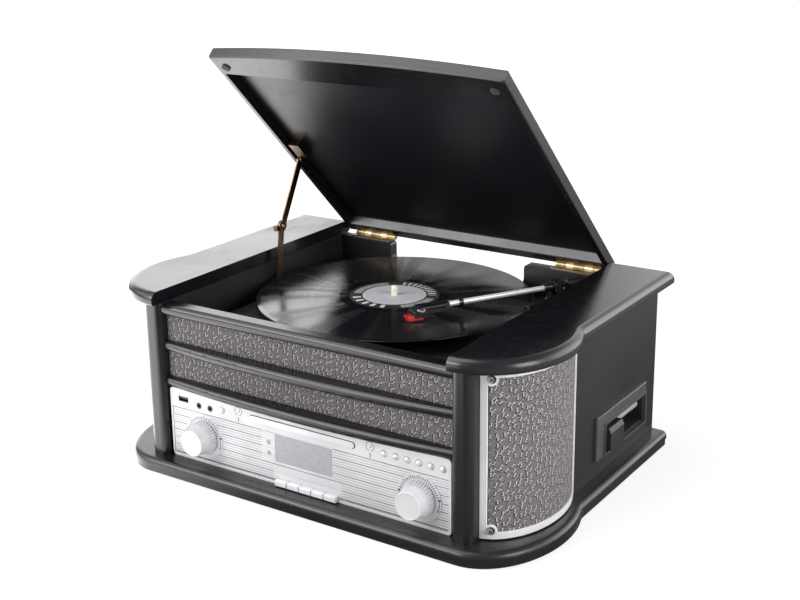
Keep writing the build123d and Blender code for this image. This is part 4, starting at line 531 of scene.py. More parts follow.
def pressed_ring(name, outer, inner, proud, thickness, ease, material, side):
    """A flat ring bent round the drum, with its edges eased; sizes in millimetres."""
    shape = bmesh.new()
    edges = []
    for outline in (outer, inner):
        corners = [shape.verts.new((run, height, 0)) for run, height in outline]
        edges += [shape.edges.new((a, b)) for a, b in zip(corners, corners[1:] + corners[:1])]
    bmesh.ops.triangle_fill(shape, edges=edges, use_beauty=True, use_dissolve=True)
    strips = 72
    for step in range(1, strips):
        cut_across(shape, frame_wall.length * step / strips)
    bmesh.ops.dissolve_degenerate(shape, edges=shape.edges[:], dist=0.00001)
    for vert in shape.verts:
        vert.co = frame_wall.point(vert.co.x, vert.co.y, proud * MM, side)
    bmesh.ops.recalc_face_normals(shape, faces=shape.faces[:])
    if sum((face.normal.x * side * face.calc_area() for face in shape.faces), 0.0) < 0:
        bmesh.ops.reverse_faces(shape, faces=shape.faces[:])
    ring = body_piece(name, meshed(name, shape, outward=False), material)
    baked(ring,
          ("SOLIDIFY", {"thickness": thickness * MM, "offset": -1.0, "use_even_offset": True}),
          ("BEVEL", {"width": ease * MM, "segments": 3, "angle_limit": math.radians(40)}))
    return ring


def speaker_frames():
    """Frame and its bright raised lip for both corners."""
    near, far = 0.05 * MM, frame_wall.length
    outer = [(near, FRAME_LOW), (far, FRAME_LOW), (far, FRAME_HIGH), (near, FRAME_HIGH)]
    lip_outer, lip_inner = window_outline(1.15 * MM), window_outline(0.05 * MM)
    for side, hand in HANDS:
        name = f"speaker_frame_{hand}"
        plate = pressed_ring(name, outer, window_outline(0), 1.35, 1.3, 0.35, frame_silver, side)
        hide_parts("speaker_frames")
        pressed_ring(f"speaker_frame_lip_{hand}", lip_outer, lip_inner, 1.8, 0.75, 0.3, lip_silver, side)


speaker_frames()


def moulded(name, colour, rough, grain=0.00003, coat=0.0):
    """Moulded plastic with a fine spark-eroded grain and finger-polished patches."""
    plastic = Finish(name, Coat_Weight=coat)
    marks = plastic.shared(handling, Patch_Scale=22.0, Streak_Scale=300.0)
    edges = plastic.shared(eased, Radius=0.0004, Rub=0.35)
    body = plastic.tint(marks["Patches"], colour, toned(colour, 1.18, 0.004))
    plastic.give(
        Base_Color=plastic.tint(edges["Worn"], body, toned(colour, 1.4, 0.03)),
        Roughness=plastic.fade(marks["Patches"], 0, 1, rough, rough + 0.12))
    plastic.relief(plastic.noise(2200.0), grain, edges["Normal"])
    return plastic.material


def bridge(shape, rings):
    """Faces between each ring of corners and the next."""
    for first, second in zip(rings, rings[1:]):
        for here in range(len(first)):
            more = (here + 1) % len(first)
            shape.faces.new((first[here], first[more], second[more], second[here]))


def turned(name, profile, steps, centre, body, material, flute=None, axis="Y"):
    """A turned piece from radius and height pairs, with flutes cut where a pair asks for them."""
    shape = bmesh.new()
    rings = []
    for radius, along, *cut in profile:
        rings.append([])
        for step in range(steps):
            turn = 2 * math.pi * step / steps
            bite = flute(turn) * cut[0] if cut and flute else 0.0
            across, up = (radius - bite) * math.cos(turn), (radius - bite) * math.sin(turn)
            spot = {"Y": (across, along, up), "Z": (across, up, along), "X": (along, across, up)}[axis]
            rings[-1].append(shape.verts.new(Vector(spot) * MM + centre))
    bridge(shape, rings)
    shape.faces.new(rings[0])
    shape.faces.new(rings[-1])
    bmesh.ops.remove_doubles(shape, verts=shape.verts[:], dist=0.000002)
    return baked(body_piece(name, meshed(name, shape), material, body))


class Print:
    """Ink shapes laid on a flat face that looks forward, given in X and Z millimetres."""

    def __init__(self, name, material, face_y, thick=0.05 * MM):
        self.name, self.material, self.face_y, self.thick = name, material, face_y, thick
        self.shape = bmesh.new()

    def patch(self, corners):
        """One filled outline."""
        front, back = [[self.shape.verts.new((x * MM, self.face_y + depth, z * MM)) for x, z in corners]
                       for depth in (-self.thick, self.thick)]
        self.shape.faces.new(front)
        self.shape.faces.new(back[::-1])
        bridge(self.shape, (front, back))

    def bar(self, x_span, z_span):
        """An upright rectangle."""
        left, right = x_span
        low, high = z_span
        self.patch([(left, low), (right, low), (right, high), (left, high)])

    def arc(self, centre, radius, width, start, end, steps=24):
        """Part of a ring, by turn from the top, clockwise in degrees."""
        inner, outer = radius - width / 2, radius + width / 2
        for step in range(steps):
            first, second = [math.radians(start + (end - start) * (step + more) / steps) for more in (0, 1)]
            rims = ((inner, first), (outer, first), (outer, second), (inner, second))
            corners = [(rim * math.sin(turn), rim * math.cos(turn)) for rim, turn in rims]
            self.patch([(centre[0] + x, centre[1] + z) for x, z in corners])

    def tick(self, centre, inner, outer, turn, width):
        """A short radial line."""
        turn = math.radians(turn)
        along = Vector((math.sin(turn), math.cos(turn)))
        across = Vector((along.y, -along.x)) * width / 2
        ends = ((inner, -1), (inner, 1), (outer, 1), (outer, -1))
        self.patch([tuple(Vector(centre) + along * reach + across * sign) for reach, sign in ends])

    def done(self):
        """The finished piece."""
        piece = body_piece(self.name, meshed(self.name, self.shape), self.material, smooth=False)
        return piece


def aimed(spot, facing):
    """Carries what is drawn about the origin, facing up, to a spot and a facing."""
    turn = Vector((0, 0, 1)).rotation_difference(Vector(facing))
    return Matrix.Translation(spot) @ turn.to_matrix().to_4x4()


ORIGIN = Vector((0, 0, 0))
screw_steel = satin_silver("zinc screw", (0.60, 0.59, 0.57), 0.3, (1.0, 1.0, 1.0), 0.7)
dress(screw_steel, "frame_screws")


def screw_seats():
    """Painted shade at each frame screw: a dark ring where the lug is sunk for its head, and a dark cross
    over its cross recess.
    """
    # Painted shade: a dark moulding stands in for the shade in the sunk seat and in the cross of each screw
    # head.
    dark = moulded("painted screw recess shade", (0.02, 0.02, 0.022), 0.5)
    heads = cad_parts["frame_screws"].data.vertices
    here = frame_wall.point(screw_run, 0, 1.36 * MM, 1)
    outward = (frame_wall.point(screw_run, 0, 2.36 * MM, 1) - here).normalized()
    seat = [(3.15, 0.0), (4.1, 0.0), (4.1, 0.22), (3.15, 0.22), (3.15, 0.0)]
    for side, hand in HANDS:
        facing = Vector((side * outward.x, outward.y, 0))
        for which, height in zip(("low", "high"), LUG_HEIGHTS):
            spot = Vector((side * here.x, here.y, height))
            aim = aimed(spot, facing)
            ring = turned(f"screw_seat_shade_{hand}_{which}", seat, 40, ORIGIN, "cabinet", dark, axis="Z")
            ring.data.transform(aim)
            head_top = max((vert.co - spot).dot(facing) for vert in heads if (vert.co - spot).length < 6 * MM)
            cross = Print(f"screw_cross_shade_{hand}_{which}", dark, 0.0)
            for turn in (20, 110):
                cross.tick((0, 0), -2.2, 2.2, turn, 0.95)
            lying = Matrix.Translation((0, 0, head_top)) @ Matrix.Rotation(-math.pi / 2, 4, "X")
            cross.done().data.transform(aim @ lying)


screw_seats()

# ---- Control board and what it carries ----
# A circuit board stands behind the panel with the pots, push switches and sockets soldered on.
# The display glass and two lamps reach forward into the panel's openings.


def solder_mask(name):
    """Green lacquered circuit board with copper tracks showing through."""
    lacquer = Finish(name, Roughness=0.35, Coat_Weight=0.4)
    upright = lacquer.put("Mapping", {"Vector": lacquer.spot(), "Rotation": (math.pi / 2, 0, 0)}).outputs[0]
    grid = {"Vector": upright, "Scale": 90.0, "Mortar Size": 0.03}
    tracks = lacquer.put("TexBrick", grid).outputs["Fac"]
    marks = lacquer.shared(handling, Patch_Scale=30.0)
    green = lacquer.tint(marks["Patches"], (0.008, 0.07, 0.025), (0.012, 0.10, 0.035))
    lacquer.give(Base_Color=lacquer.tint(tracks, green, (0.03, 0.16, 0.05)))
    lacquer.relief(tracks, 0.00005)
    return lacquer.material


def display_glass(name):
    """Grey unlit display behind a plain window, with the faintest segment grid."""
    glass = Finish(name, Coat_Weight=0.5, Coat_Roughness=0.12)
    columns = glass.fade(glass.calc("SINE", glass.times(glass.parts()["X"], 2600.0)), 0.3, 1.0)
    cloud = glass.noise(18.0)
    grey = glass.tint(cloud, (0.37, 0.36, 0.39), (0.41, 0.395, 0.425))
    glass.give(
        Base_Color=glass.tint(glass.times(columns, 0.05), grey, (0.31, 0.30, 0.33)),
        Roughness=glass.fade(cloud, 0.3, 0.7, 0.26, 0.36))
    return glass.material


dress(solder_mask("circuit lacquer"), "control_board")
dress(display_glass("display window"), "display_module")
black_plastic = moulded("black moulding", (0.012, 0.012, 0.013), 0.38)
dress(black_plastic, "input_sockets")

# ---- Control panel ----
# A pressed aluminium sheet lacquered pale silver, with a sunk field behind the controls.
# Dark lines on the field, knob scales, a small motif each side of the tray and a hatched
# foot are screen printed.
drawn_across = (0.05, 1.0, 1.0)
panel_silver = satin_silver("pale silver panel", (0.72, 0.72, 0.735), 0.42, drawn_across, 0.12)
dress(panel_silver, "control_panel", "panel_bosses")
PANEL_FACE = -159.0 * MM
FIELD_FACE = PANEL_FACE + 0.8 * MM


def printing_ink(name, colour):
    """Screen ink: thin, slightly uneven and matt."""
    ink = Finish(name)
    cover = ink.noise(1400.0, 3.0)
    ink.give(
        Base_Color=ink.tint(ink.fade(cover, 0.5, 0.75), colour, toned(colour, 2.2, 0.03)),
        Roughness=ink.fade(cover, 0.3, 0.8, 0.5, 0.7))
    return ink.material


line_ink = printing_ink("line ink", (0.03, 0.03, 0.045))
pale_ink = printing_ink("pale line ink", (0.28, 0.28, 0.31))
mark_ink_and_slot_shade = printing_ink("mark ink and painted slot shade", (0.05, 0.05, 0.07))

KNOB_CENTRES = ((-128.5, 46.7), (138.0, 46.7))
FIELD_HALF = 170.0
WINDOW_RIGHT, WINDOW_HEIGHTS, LAMPS_LEFT = 36.7, (41.8, 71.0), -52.0
KEYS_TOP = 36.0


def open_runs(z, clear):
    """The stretches of a line across the field that miss the knob discs, lamps, window and keys."""
    stops = []
    for x, middle in KNOB_CENTRES:
        rise = abs(z - middle)
        if rise < clear:
            reach = math.sqrt(clear ** 2 - rise ** 2)
            stops.append((x - reach, x + reach))
    if WINDOW_HEIGHTS[0] - 2 < z < WINDOW_HEIGHTS[1] + 2.5:
        stops.append((LAMPS_LEFT, WINDOW_RIGHT + 1.0))
    if z < KEYS_TOP:
        stops.append((-37.5, 47.0) if z > 24 else (-34.0, 44.0))
    runs, start = [], -FIELD_HALF
    for low, high in sorted(stops):
        if low > start:
            runs.append((start, low))
        start = max(start, high)
    return runs + [(start, FIELD_HALF)]


def field_lines():
    """Seven dark lines across the field, with two finer ones under each."""
    dark = Print("panel_lines", line_ink, FIELD_FACE + 0.42 * MM, 0.06 * MM)
    faint = Print("panel_fine_lines", pale_ink, FIELD_FACE)
    top_line, line_pitch, half_line, half_fine, lowest = 72.2, 8.45, 0.6, 0.22, 20.5
    for index in range(7):
        z = top_line - line_pitch * index
        for run in open_runs(z, 24.6):
            dark.bar(run, (z - half_line, z + half_line))
        for fine_z in (z - 2.8, z - 5.6):
            if fine_z > lowest:
                for run in open_runs(fine_z, 24.8):
                    faint.bar(run, (fine_z - half_fine, fine_z + half_fine))
    dark.done()
    faint.done()


def panel_marks_and_slot_shade():
    """The two printed motifs and knob scales, and a painted shadow line round the tray slot."""
    marks = Print("panel_marks_and_slot_shade", mark_ink_and_slot_shade, PANEL_FACE)
    for x in (-80.3, 82.8):
        marks.arc((x, 86.2), 4.6, 0.55, -165, 165, 30)
        marks.bar((x - 0.45, x + 0.45), (74.6, 79.6))
        marks.arc((x + 0.4, 86.6), 1.4, 0.5, 10, 200, 10)
    for centre in KNOB_CENTRES:
        for step in range(25):
            marks.tick(centre, 19.6, 22.6 if step % 4 else 23.8, -75 + 150 * step / 24, 0.8)
        for sign in (-1, 1):
            marks.arc(centre, 22.6, 0.8, sign * 84, sign * 112, 12)
            marks.tick(centre, 21.0, 24.2, sign * 82.5, 1.9)
            marks.tick(centre, 21.6, 23.6, sign * 113, 1.6)
    # Painted shadow: a dark line round the tray's rounded ends and long edges stands in for the shade of the
    # gap.
    low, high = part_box("cd_tray")
    end_x, middle, half = high[0] / MM, (low[2] + high[2]) / 2 / MM, (high[2] - low[2]) / 2 / MM
    for sign in (-1, 1):
        marks.arc((sign * (end_x - half), middle), half + 0.45, 0.9, 4 * sign, 176 * sign, 20)
        marks.bar((half - end_x, end_x - half), sorted((middle + sign * half, middle + sign * (half + 0.7))))
    marks.done()


def panel_hatching():
    """Slanted strokes along the foot of the field, both sides of the keys."""
    foot = Print("panel_hatching", mark_ink_and_slot_shade, FIELD_FACE, 0.04 * MM)
    low, high, pitch = 19.5, 21.6, 1.5
    for start, end in ((-169.5, -36.0), (46.0, 169.5)):
        for step in range(int((end - start) / pitch)):
            x = start + pitch * step
            foot.patch([(x, low), (x + 0.75, low), (x + 1.55, high), (x + 0.8, high)])
    foot.done()


field_lines()
panel_marks_and_slot_shade()
panel_hatching()

# ---- Knobs ----
# Turned aluminium knobs with a spun face, a tapering barrel and a fluted skirt.
# Each is pressed on a steel spindle that turns in its pot.
FLUTES = 36


def about_axis(recipe, centre, across):
    """Place about a centre, taken across an axis, and how far out that lies."""
    flat = recipe.vector("MULTIPLY", recipe.vector("SUBTRACT", recipe.spot(), centre), across)
    return flat, recipe.put("VectorMath", {0: flat}, operation="LENGTH").outputs["Value"]


def noise_along(recipe, value, detail=2.0, roughness=0.5, scale=5.0):
    """Noise along a single value, such as a distance or a turn."""
    inputs = {"W": value, "Scale": scale, "Detail": detail, "Roughness": roughness}
    return recipe.put("TexNoise", inputs, noise_dimensions="1D").outputs["Fac"]


def spun_face(name, base, rough, centre):
    """Turned aluminium: fine circles from the tool about the knob's own centre, with painted shade darkening
    the flutes of the skirt.
    """
    metal = Finish(name, Metallic=0.12, Anisotropic=0.3)
    flat, reach = about_axis(metal, centre, (1, 0, 1))
    circles = noise_along(metal, metal.times(reach, 9000.0), scale=1.0)
    marks = metal.shared(handling, Patch_Scale=30.0)
    parts = metal.parts(flat)
    turn = metal.calc("ARCTAN2", parts["Z"], parts["X"])
    height = metal.parts(metal.vector("SUBTRACT", metal.spot(), centre))["Y"]
    flutes = metal.fade(metal.calc("COSINE", metal.times(turn, float(FLUTES))), 0.0, 0.8)
    # Painted shade: the flutes are darkened towards lavender grey along the fluted part of the skirt.
    shadow = metal.times(flutes, metal.fade(height, -0.0105, -0.0060, 0.0, 0.75))
    colour = metal.tint(circles, base, toned(base, 0.9))
    colour = metal.tint(shadow, colour, (0.26, 0.26, 0.33))
    metal.give(
        Base_Color=metal.tint(marks["Patches"], colour, toned(base, 0.94)),
        Roughness=metal.fade(circles, 0.3, 0.7, rough, rough + 0.12))
    metal.relief(circles, 0.000012)
    return metal.material


def knob_flute(turn):
    """Round-bottomed flutes round the skirt."""
    return max(0.0, math.cos(FLUTES * turn)) ** 0.6


def knobs():
    """Volume and tuning knobs."""
    skirt, deep = 18.4, 1.25
    profile = [
        (0.01, -20.25), (6.0, -20.3), (12.4, -20.5), (12.9, -20.85), (13.5, -20.95), (13.95, -20.8),
        (14.2, -20.4), (14.35, -19.6), (14.6, -17.0), (14.95, -14.0), (15.4, -11.4), (15.7, -10.2, 0.05),
        (16.1, -8.8, deep * 0.45), (16.9, -6.4, deep * 0.8), (17.8, -3.9, deep), (skirt, -2.2, deep),
        (skirt, -1.5, deep), (18.1, -1.1, deep * 0.8), (17.2, -1.0), (3.2, -1.0), (2.9, -1.0), (2.9, 11.0),
        (0.01, 11.0)]
    for name, (x, z) in zip(("volume_knob", "tuning_knob"), KNOB_CENTRES):
        centre = Vector((x * MM, PANEL_FACE, z * MM))
        face = spun_face(f"spun {name.replace('_', ' ')}", (0.704, 0.704, 0.726), 0.3, centre)
        knob = turned(f"turned_{name}", profile, 240, centre, name, face, knob_flute)
        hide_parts(name)


knobs()

# ---- Buttons and keys ----
# Seven small domed buttons and five square keys, moulded and sprayed pale silver.
# Each slides in its hole and presses a switch on the board behind.
button_silver = satin_silver("button silver", (0.80, 0.80, 0.81), 0.3, (1.0, 1.0, 1.0), 0.45)
key_white = moulded("pale key moulding", (0.70, 0.70, 0.72), 0.3, 0.00001, 0.2)


def domed_buttons():
    """Round caps with a domed face on a plain stem."""
    radius, dome, steps = 3.4, 2.5, 9
    first_x, pitch, row_z = 98.9, 13.1, 82.5
    profile = [(0.01, 0.3 - dome)]
    for step in range(1, steps + 1):
        turn = math.pi / 2 * step / steps
        profile.append((radius * math.sin(turn), 0.3 - dome * math.cos(turn) ** 1.2))
    profile += [(radius, 3.6), (2.4, 3.6), (2.4, 7.4), (0.01, 7.4)]
    spots = [(f"round_button_{index + 1}", first_x + pitch * index, button_silver) for index in range(6)]
    for name, x, material in spots + [("function_button", -102.0, key_white)]:
        cap = turned(f"domed_{name}", profile, 48, Vector((x * MM, PANEL_FACE, row_z * MM)), name, material)
        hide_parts(name)


domed_buttons()
dress(key_white, *[f"piano_key_{index}" for index in range(1, 6)])

# ---- Disc tray and its loader ----
# A moulded tray with a sunk disc pocket slides on two rails of a sheet-metal loader.
# Its front is a round-ended bar that closes the slot in the panel.
dress(satin_silver("tray front silver", (0.76, 0.76, 0.775), 0.34, drawn_across, 0.45), "cd_tray")
pressed_steel = satin_silver("pressed steel", (0.42, 0.42, 0.42), 0.4, (1.0, 0.1, 1.0), 1.0)
dress(pressed_steel, "cd_mechanism", "deck_motor", "motor_pulley")

# ---- Transformer ----
# A stack of varnished iron plates with a wound and taped coil through it.
# It stands on the base board behind the panel.


def iron_stack(name):
    """Varnished laminations: fine dark lines across the stack."""
    stack = Finish(name, Metallic=0.4)
    plates = stack.fade(stack.calc("SINE", stack.times(stack.parts()["Y"], 9000.0)), -0.2, 0.9)
    marks = stack.shared(handling, Patch_Scale=30.0)
    iron = stack.tint(plates, (0.05, 0.04, 0.035), (0.16, 0.13, 0.11))
    stack.give(Base_Color=stack.tint(marks["Streaks"], iron, (0.24, 0.13, 0.06)))
    stack.relief(plates, 0.0001)
    return stack.material


dress(iron_stack("varnished iron"), "transformer")

# ---- Cassette unit ----
# A satin moulded bezel with a stepped rim round an open slot, and a wedge-shaped eject key.
# Inside, a ribbed pale roller runs across the mouth of the slot with a smaller one below it.
dress(moulded("satin black bezel", (0.052, 0.053, 0.057), 0.34, 0.00002), "cassette_bezel")
dress(moulded("dull black inside moulding", (0.010, 0.010, 0.011), 0.6), "cassette_mechanism")
dress(black_plastic, "cassette_key")


def cassette_rollers():
    """Ribbed sleeve on the cross roller, and the guide roller before it."""
    pale = moulded("pale roller", (0.30, 0.29, 0.28), 0.45)
    sleeve, rib, first_rib, pitch, guide = 3.45, 4.1, 81.0, 2.8, 0.85
    ribs = []
    for step in range(22):
        y = first_rib + pitch * step
        ribs += [(sleeve, y), (rib, y + 0.35), (rib, y + 1.2), (sleeve, y + 1.55)]
    sleeved = [(sleeve, 80.2)] + ribs + [(sleeve, 143.1), (3.4, 143.1), (3.4, 80.2)]
    guiding = [(1.4, 79.5), (1.4, 81.0)] + [(reach * guide, y) for reach, y in ribs]
    guiding += [(1.4, 143.0), (1.4, 143.8), (0.6, 143.8), (0.6, 79.5), (1.4, 79.5)]
    rollers = (("cassette_roller", sleeved, 216.6, 62.0), ("cassette_guide_roller", guiding, 223.0, 56.0))
    for name, profile, x, z in rollers:
        turned(name, profile, 28, Vector((x, 0, z)) * MM, "cabinet", pale)


cassette_rollers()

# ---- Deck plate, motor and belt ----
# A pressed steel plate, textured black, screwed down on cleats inside the well.
# A can motor hangs under it and drives the platter's rim by a flat rubber belt.


def crackle_black(name):
    """Black wrinkle lacquer on steel."""
    lacquer = Finish(name)
    marks = lacquer.shared(handling, Patch_Scale=12.0)
    settled = lacquer.shared(dusty, Amount=0.35)["Dust"]
    coat = lacquer.tint(marks["Patches"], (0.011, 0.011, 0.012), (0.018, 0.018, 0.019))
    lacquer.give(
        Base_Color=lacquer.tint(settled, coat, (0.12, 0.115, 0.11)),
        Roughness=lacquer.fade(marks["Streaks"], 0, 1, 0.42, 0.55))
    wrinkle = lacquer.put("TexVoronoi", {"Scale": 1100.0}, feature="SMOOTH_F1").outputs["Distance"]
    lacquer.relief(wrinkle, 0.00012)
    return lacquer.material


dress(crackle_black("wrinkle black plate"), "deck_plate")
dress(rubber, "drive_belt")

# ---- Platter and record ----
# A cast platter with a felt mat and a plated centre pin, and a long-playing record on it.
# The record is pressed vinyl with a beaded edge, grooved bands and a paper label.
RECORD_CENTRE = Vector((-15.0 * MM, 33.0 * MM, 0))


def cast_platter(name):
    """Cast and turned alloy, with felt where the mat lies and a bright pin."""
    casting = Finish(name)
    reach = about_axis(casting, RECORD_CENTRE, (1, 1, 0))[1]
    height = casting.parts()["Z"]
    felt = casting.times(casting.fade(height, 0.16595, 0.16605), casting.fade(reach, 0.0038, 0.0045))
    pin = casting.times(casting.fade(height, 0.1662, 0.1664), casting.fade(reach, 0.0038, 0.0037))
    nap = casting.noise(2600.0, 4.0)
    circles = noise_along(casting, casting.times(reach, 5000.0))
    alloy = casting.tint(circles, (0.52, 0.52, 0.53), (0.66, 0.66, 0.67))
    cloth = casting.tint(nap, (0.010, 0.010, 0.010), (0.05, 0.05, 0.05))
    no_metal = casting.calc("MAXIMUM", felt, casting.times(pin, 0.75))
    casting.give(
        Base_Color=casting.tint(pin, casting.tint(felt, alloy, cloth), (0.90, 0.87, 0.70)),
        Metallic=casting.fade(no_metal, 0, 1, 1.0, 0.0),
        Roughness=casting.fade(felt, 0, 1, 0.25, 0.95))
    casting.relief(casting.times(nap, felt), 0.0002)
    return casting.material


def pressed_vinyl(name):
    """Black vinyl: fine grooves in bands, plain rings between them and after the last."""
    vinyl = Finish(name, Anisotropic=0.8)
    flat, reach = about_axis(vinyl, RECORD_CENTRE, (1, 1, 0))
    outward = vinyl.put("VectorMath", {0: flat}, operation="NORMALIZE").outputs[0]
    bands = vinyl.times(vinyl.fade(reach, 0.0598, 0.0602), vinyl.fade(reach, 0.1457, 0.1453))
    for middle, depth in ((0.0721, 0.25), (0.0899, 0.9), (0.1067, 0.2), (0.1233, 0.3)):
        aside = vinyl.calc("ABSOLUTE", vinyl.calc("SUBTRACT", reach, middle))
        bands = vinyl.times(bands, vinyl.fade(aside, 0.0009, 0.0004, 1.0, 1.0 - depth))
    loud = noise_along(vinyl, vinyl.times(reach, 420.0), 5.0, 0.7)
    fine = noise_along(vinyl, vinyl.times(reach, 6500.0), 1.0)
    swept = vinyl.noise(3.2, 3.0, at=outward)
    settled = vinyl.shared(dusty, Amount=0.08)["Dust"]
    black = vinyl.tint(loud, (0.0045, 0.0040, 0.0060), (0.0085, 0.0078, 0.0105))
    worn = vinyl.calc("MULTIPLY_ADD", swept, 0.75, vinyl.times(loud, 0.25))
    groove_dull = vinyl.fade(worn, 0.42, 0.60, 0.12, 0.32)
    dull = vinyl.times(vinyl.fade(bands, 0.0, 1.0, 0.6, 1.0), groove_dull)
    vinyl.give(
        Tangent=outward,
        Base_Color=vinyl.tint(settled, black, (0.2, 0.2, 0.2)),
        Roughness=vinyl.calc("MAXIMUM", dull, 0.08))
    vinyl.relief(vinyl.times(fine, bands), 0.000012)
    return vinyl.material


def record_disc():
    """The record, turned with its beaded edge, label land and centre hole."""
    profile = [
        (3.7, 169.35), (17.0, 169.35), (17.4, 169.45), (18.1, 169.45), (18.5, 169.35), (49.3, 169.35),
        (49.8, 169.5), (54.0, 169.42), (60.0, 169.30), (145.6, 169.30), (147.3, 169.5), (149.6, 169.5),
        (150.4, 169.15), (150.7, 168.5), (150.4, 167.85), (149.6, 167.5), (147.3, 167.5), (60.0, 167.7),
        (49.8, 167.5), (3.7, 167.5), (3.7, 169.35)]
    vinyl = pressed_vinyl("pressed vinyl")
    disc = turned("long_playing_record", profile, 256, RECORD_CENTRE, "platter", vinyl, axis="Z")
    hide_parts("record")


def label_paper(name):
    """Printed label: grey centre with fine rules, a black ring carrying plain pale marks."""
    label = Finish(name)
    flat, reach = about_axis(label, RECORD_CENTRE, (1, 1, 0))
    parts = label.parts(flat)
    turn = label.calc("ARCTAN2", parts["Y"], parts["X"])
    fibre = label.noise(1200.0, 4.0)

    def wave(value, low, high):
        """Bright stretches of a sine."""
        return label.fade(label.calc("SINE", value), low, high)

    def within(value, low, high, soft):
        """One between two limits, nothing outside them."""
        return label.times(label.fade(value, low, low + soft), label.fade(value, high, high - soft))

    rule_pitch = 0.0042
    slanted = {"Vector": label.spot(), "Center": RECORD_CENTRE, "Angle": 0.55}
    slanted = label.put("VectorRotate", slanted, rotation_type="Z_AXIS").outputs[0]
    on_page = label.parts(label.vector("SUBTRACT", slanted, RECORD_CENTRE))
    rules = wave(label.times(on_page["Y"], 2 * math.pi / rule_pitch), 0.35, 0.6)
    row = label.calc("FLOOR", label.calc("DIVIDE", on_page["Y"], rule_pitch))
    along_row = label.calc("MULTIPLY_ADD", on_page["X"], 620.0, label.times(row, 7.3))
    dashes = label.fade(noise_along(label, along_row), 0.50, 0.56)
    inside = label.fade(label.calc("ABSOLUTE", on_page["X"]), 0.026, 0.0245)
    lines = label.times(label.times(rules, dashes), label.times(inside, label.fade(reach, 0.0115, 0.0125)))
    centre = label.tint(label.times(lines, 0.45), (0.66, 0.66, 0.70), (0.07, 0.07, 0.075))

    around = label.calc("FRACT", label.calc("DIVIDE", label.calc("SUBTRACT", turn, 2.3), 2 * math.pi))
    figures = (
        (wave(label.times(reach, 2 * math.pi / 0.0024), 0.1, 0.4), 0.0, 0.2),
        (wave(label.times(turn, 23.0), 0.1, 0.4), 0.24, 0.44),
        (label.fade(noise_along(label, label.times(turn, 9.0), 3.0), 0.48, 0.53), 0.5, 0.67),
        (wave(label.times(turn, 41.0), 0.0, 0.4), 0.71, 0.95))
    marks = 0.0
    for figure, start, end in figures:
        marks = label.calc("MULTIPLY_ADD", figure, within(around, start, end, 0.004), marks)
    marks = label.times(marks, within(reach, 0.0366, 0.0459, 0.0004))
    ring = label.tint(marks, (0.008, 0.008, 0.009), (0.78, 0.78, 0.79))
    paper = label.tint(label.fade(reach, 0.0345, 0.0350), centre, ring)
    paper = label.tint(within(reach, 0.0335, 0.0345, 0.0002), paper, (0.7, 0.7, 0.7))
    label.give(
        Base_Color=label.tint(label.times(fibre, 0.08), paper, (0.2, 0.2, 0.19)),
        Roughness=label.fade(fibre, 0.3, 0.7, 0.42, 0.62))
    label.relief(fibre, 0.00003)
    return label.material


def record_label():
    """Paper label pressed into the land of the record."""
    profile = [
        (3.8, 169.36), (3.8, 169.44), (16.8, 169.44), (17.3, 169.5), (18.2, 169.5), (18.7, 169.44),
        (48.9, 169.44), (49.1, 169.36), (3.8, 169.36)]
    paper = label_paper("label paper")
    turned("record_label", profile, 128, RECORD_CENTRE, "platter", paper, axis="Z")


dress(cast_platter("cast platter"), "platter")
record_disc()
record_label()
dress(black_plastic, "speed_switch")

# ---- Tone arm ----
# A thin chromed tube turns in a black fork on a moulded turret, with a weight behind it.
# A moulded headshell with a bent finger lift holds the pick-up and its red stylus holder.
# All of it is drawn along +X from the pivot, and then carried onto the arm's line.
ARM_PIVOT = Vector((140.0, 119.0, 182.0)) * MM
ARM_PLACE = Matrix.Translation(ARM_PIVOT) @ Matrix.Rotation(math.radians(239.45), 4, "Z")
arm_chrome = satin_silver("arm chrome", (0.95, 0.93, 0.89), 0.24, (0.1, 1.0, 1.0), 0.25)
arm_black = moulded("arm black moulding", (0.010, 0.010, 0.011), 0.24, 0.00001, 0.3)
weight_black = moulded("rear weight black", (0.014, 0.014, 0.015), 0.32, 0.00001)
stylus_red = moulded("stylus red", (0.62, 0.010, 0.008), 0.28, 0.000008, 0.4)
lift_grey = moulded("finger lift grey", (0.55, 0.55, 0.56), 0.25, 0.00001)
dress(arm_black, "tonearm_yoke", "tonearm_base")


def on_arm(piece):
    """Carry a piece onto the arm's line."""
    piece.data.transform(ARM_PLACE)
    return piece


def eased_block(name, spans, ease, material, reshape=None):
    """A moulded block of the arm between limits in millimetres, reshaped if asked, with eased edges."""
    shape = bmesh.new()
    bmesh.ops.create_cube(shape, size=1.0)
    for vert in shape.verts:
        sides = zip(spans, vert.co)
        vert.co = Vector([(low + high) / 2 + part * (high - low) for (low, high), part in sides])
    if reshape:
        reshape(shape)
    bmesh.ops.bevel(
        shape, geom=shape.edges[:], offset=ease, segments=3, profile=0.5, affect="EDGES", clamp_overlap=True)
    mesh = meshed(name, shape)
    mesh.transform(Matrix.Scale(MM, 4))
    return on_arm(baked(body_piece(name, mesh, material, "arm")))


def headshell_shape(shape):
    """Slope the nose and draw the back corners in to the tube."""
    cut_across(shape, 143)
    cut_across(shape, 168)
    for vert in shape.verts:
        if vert.co.x < 135:
            vert.co.y *= 0.42
        if vert.co.x > 177 and vert.co.z > 0:
            vert.co.z -= 3.8
            vert.co.x -= 1.0


def stylus_shape(shape):
    """Draw the front of the holder down to a wedge."""
    for vert in shape.verts:
        if vert.co.x > 180:
            vert.co.y *= 0.8
            vert.co.x -= 2.4 if vert.co.z < -8 else 0.0


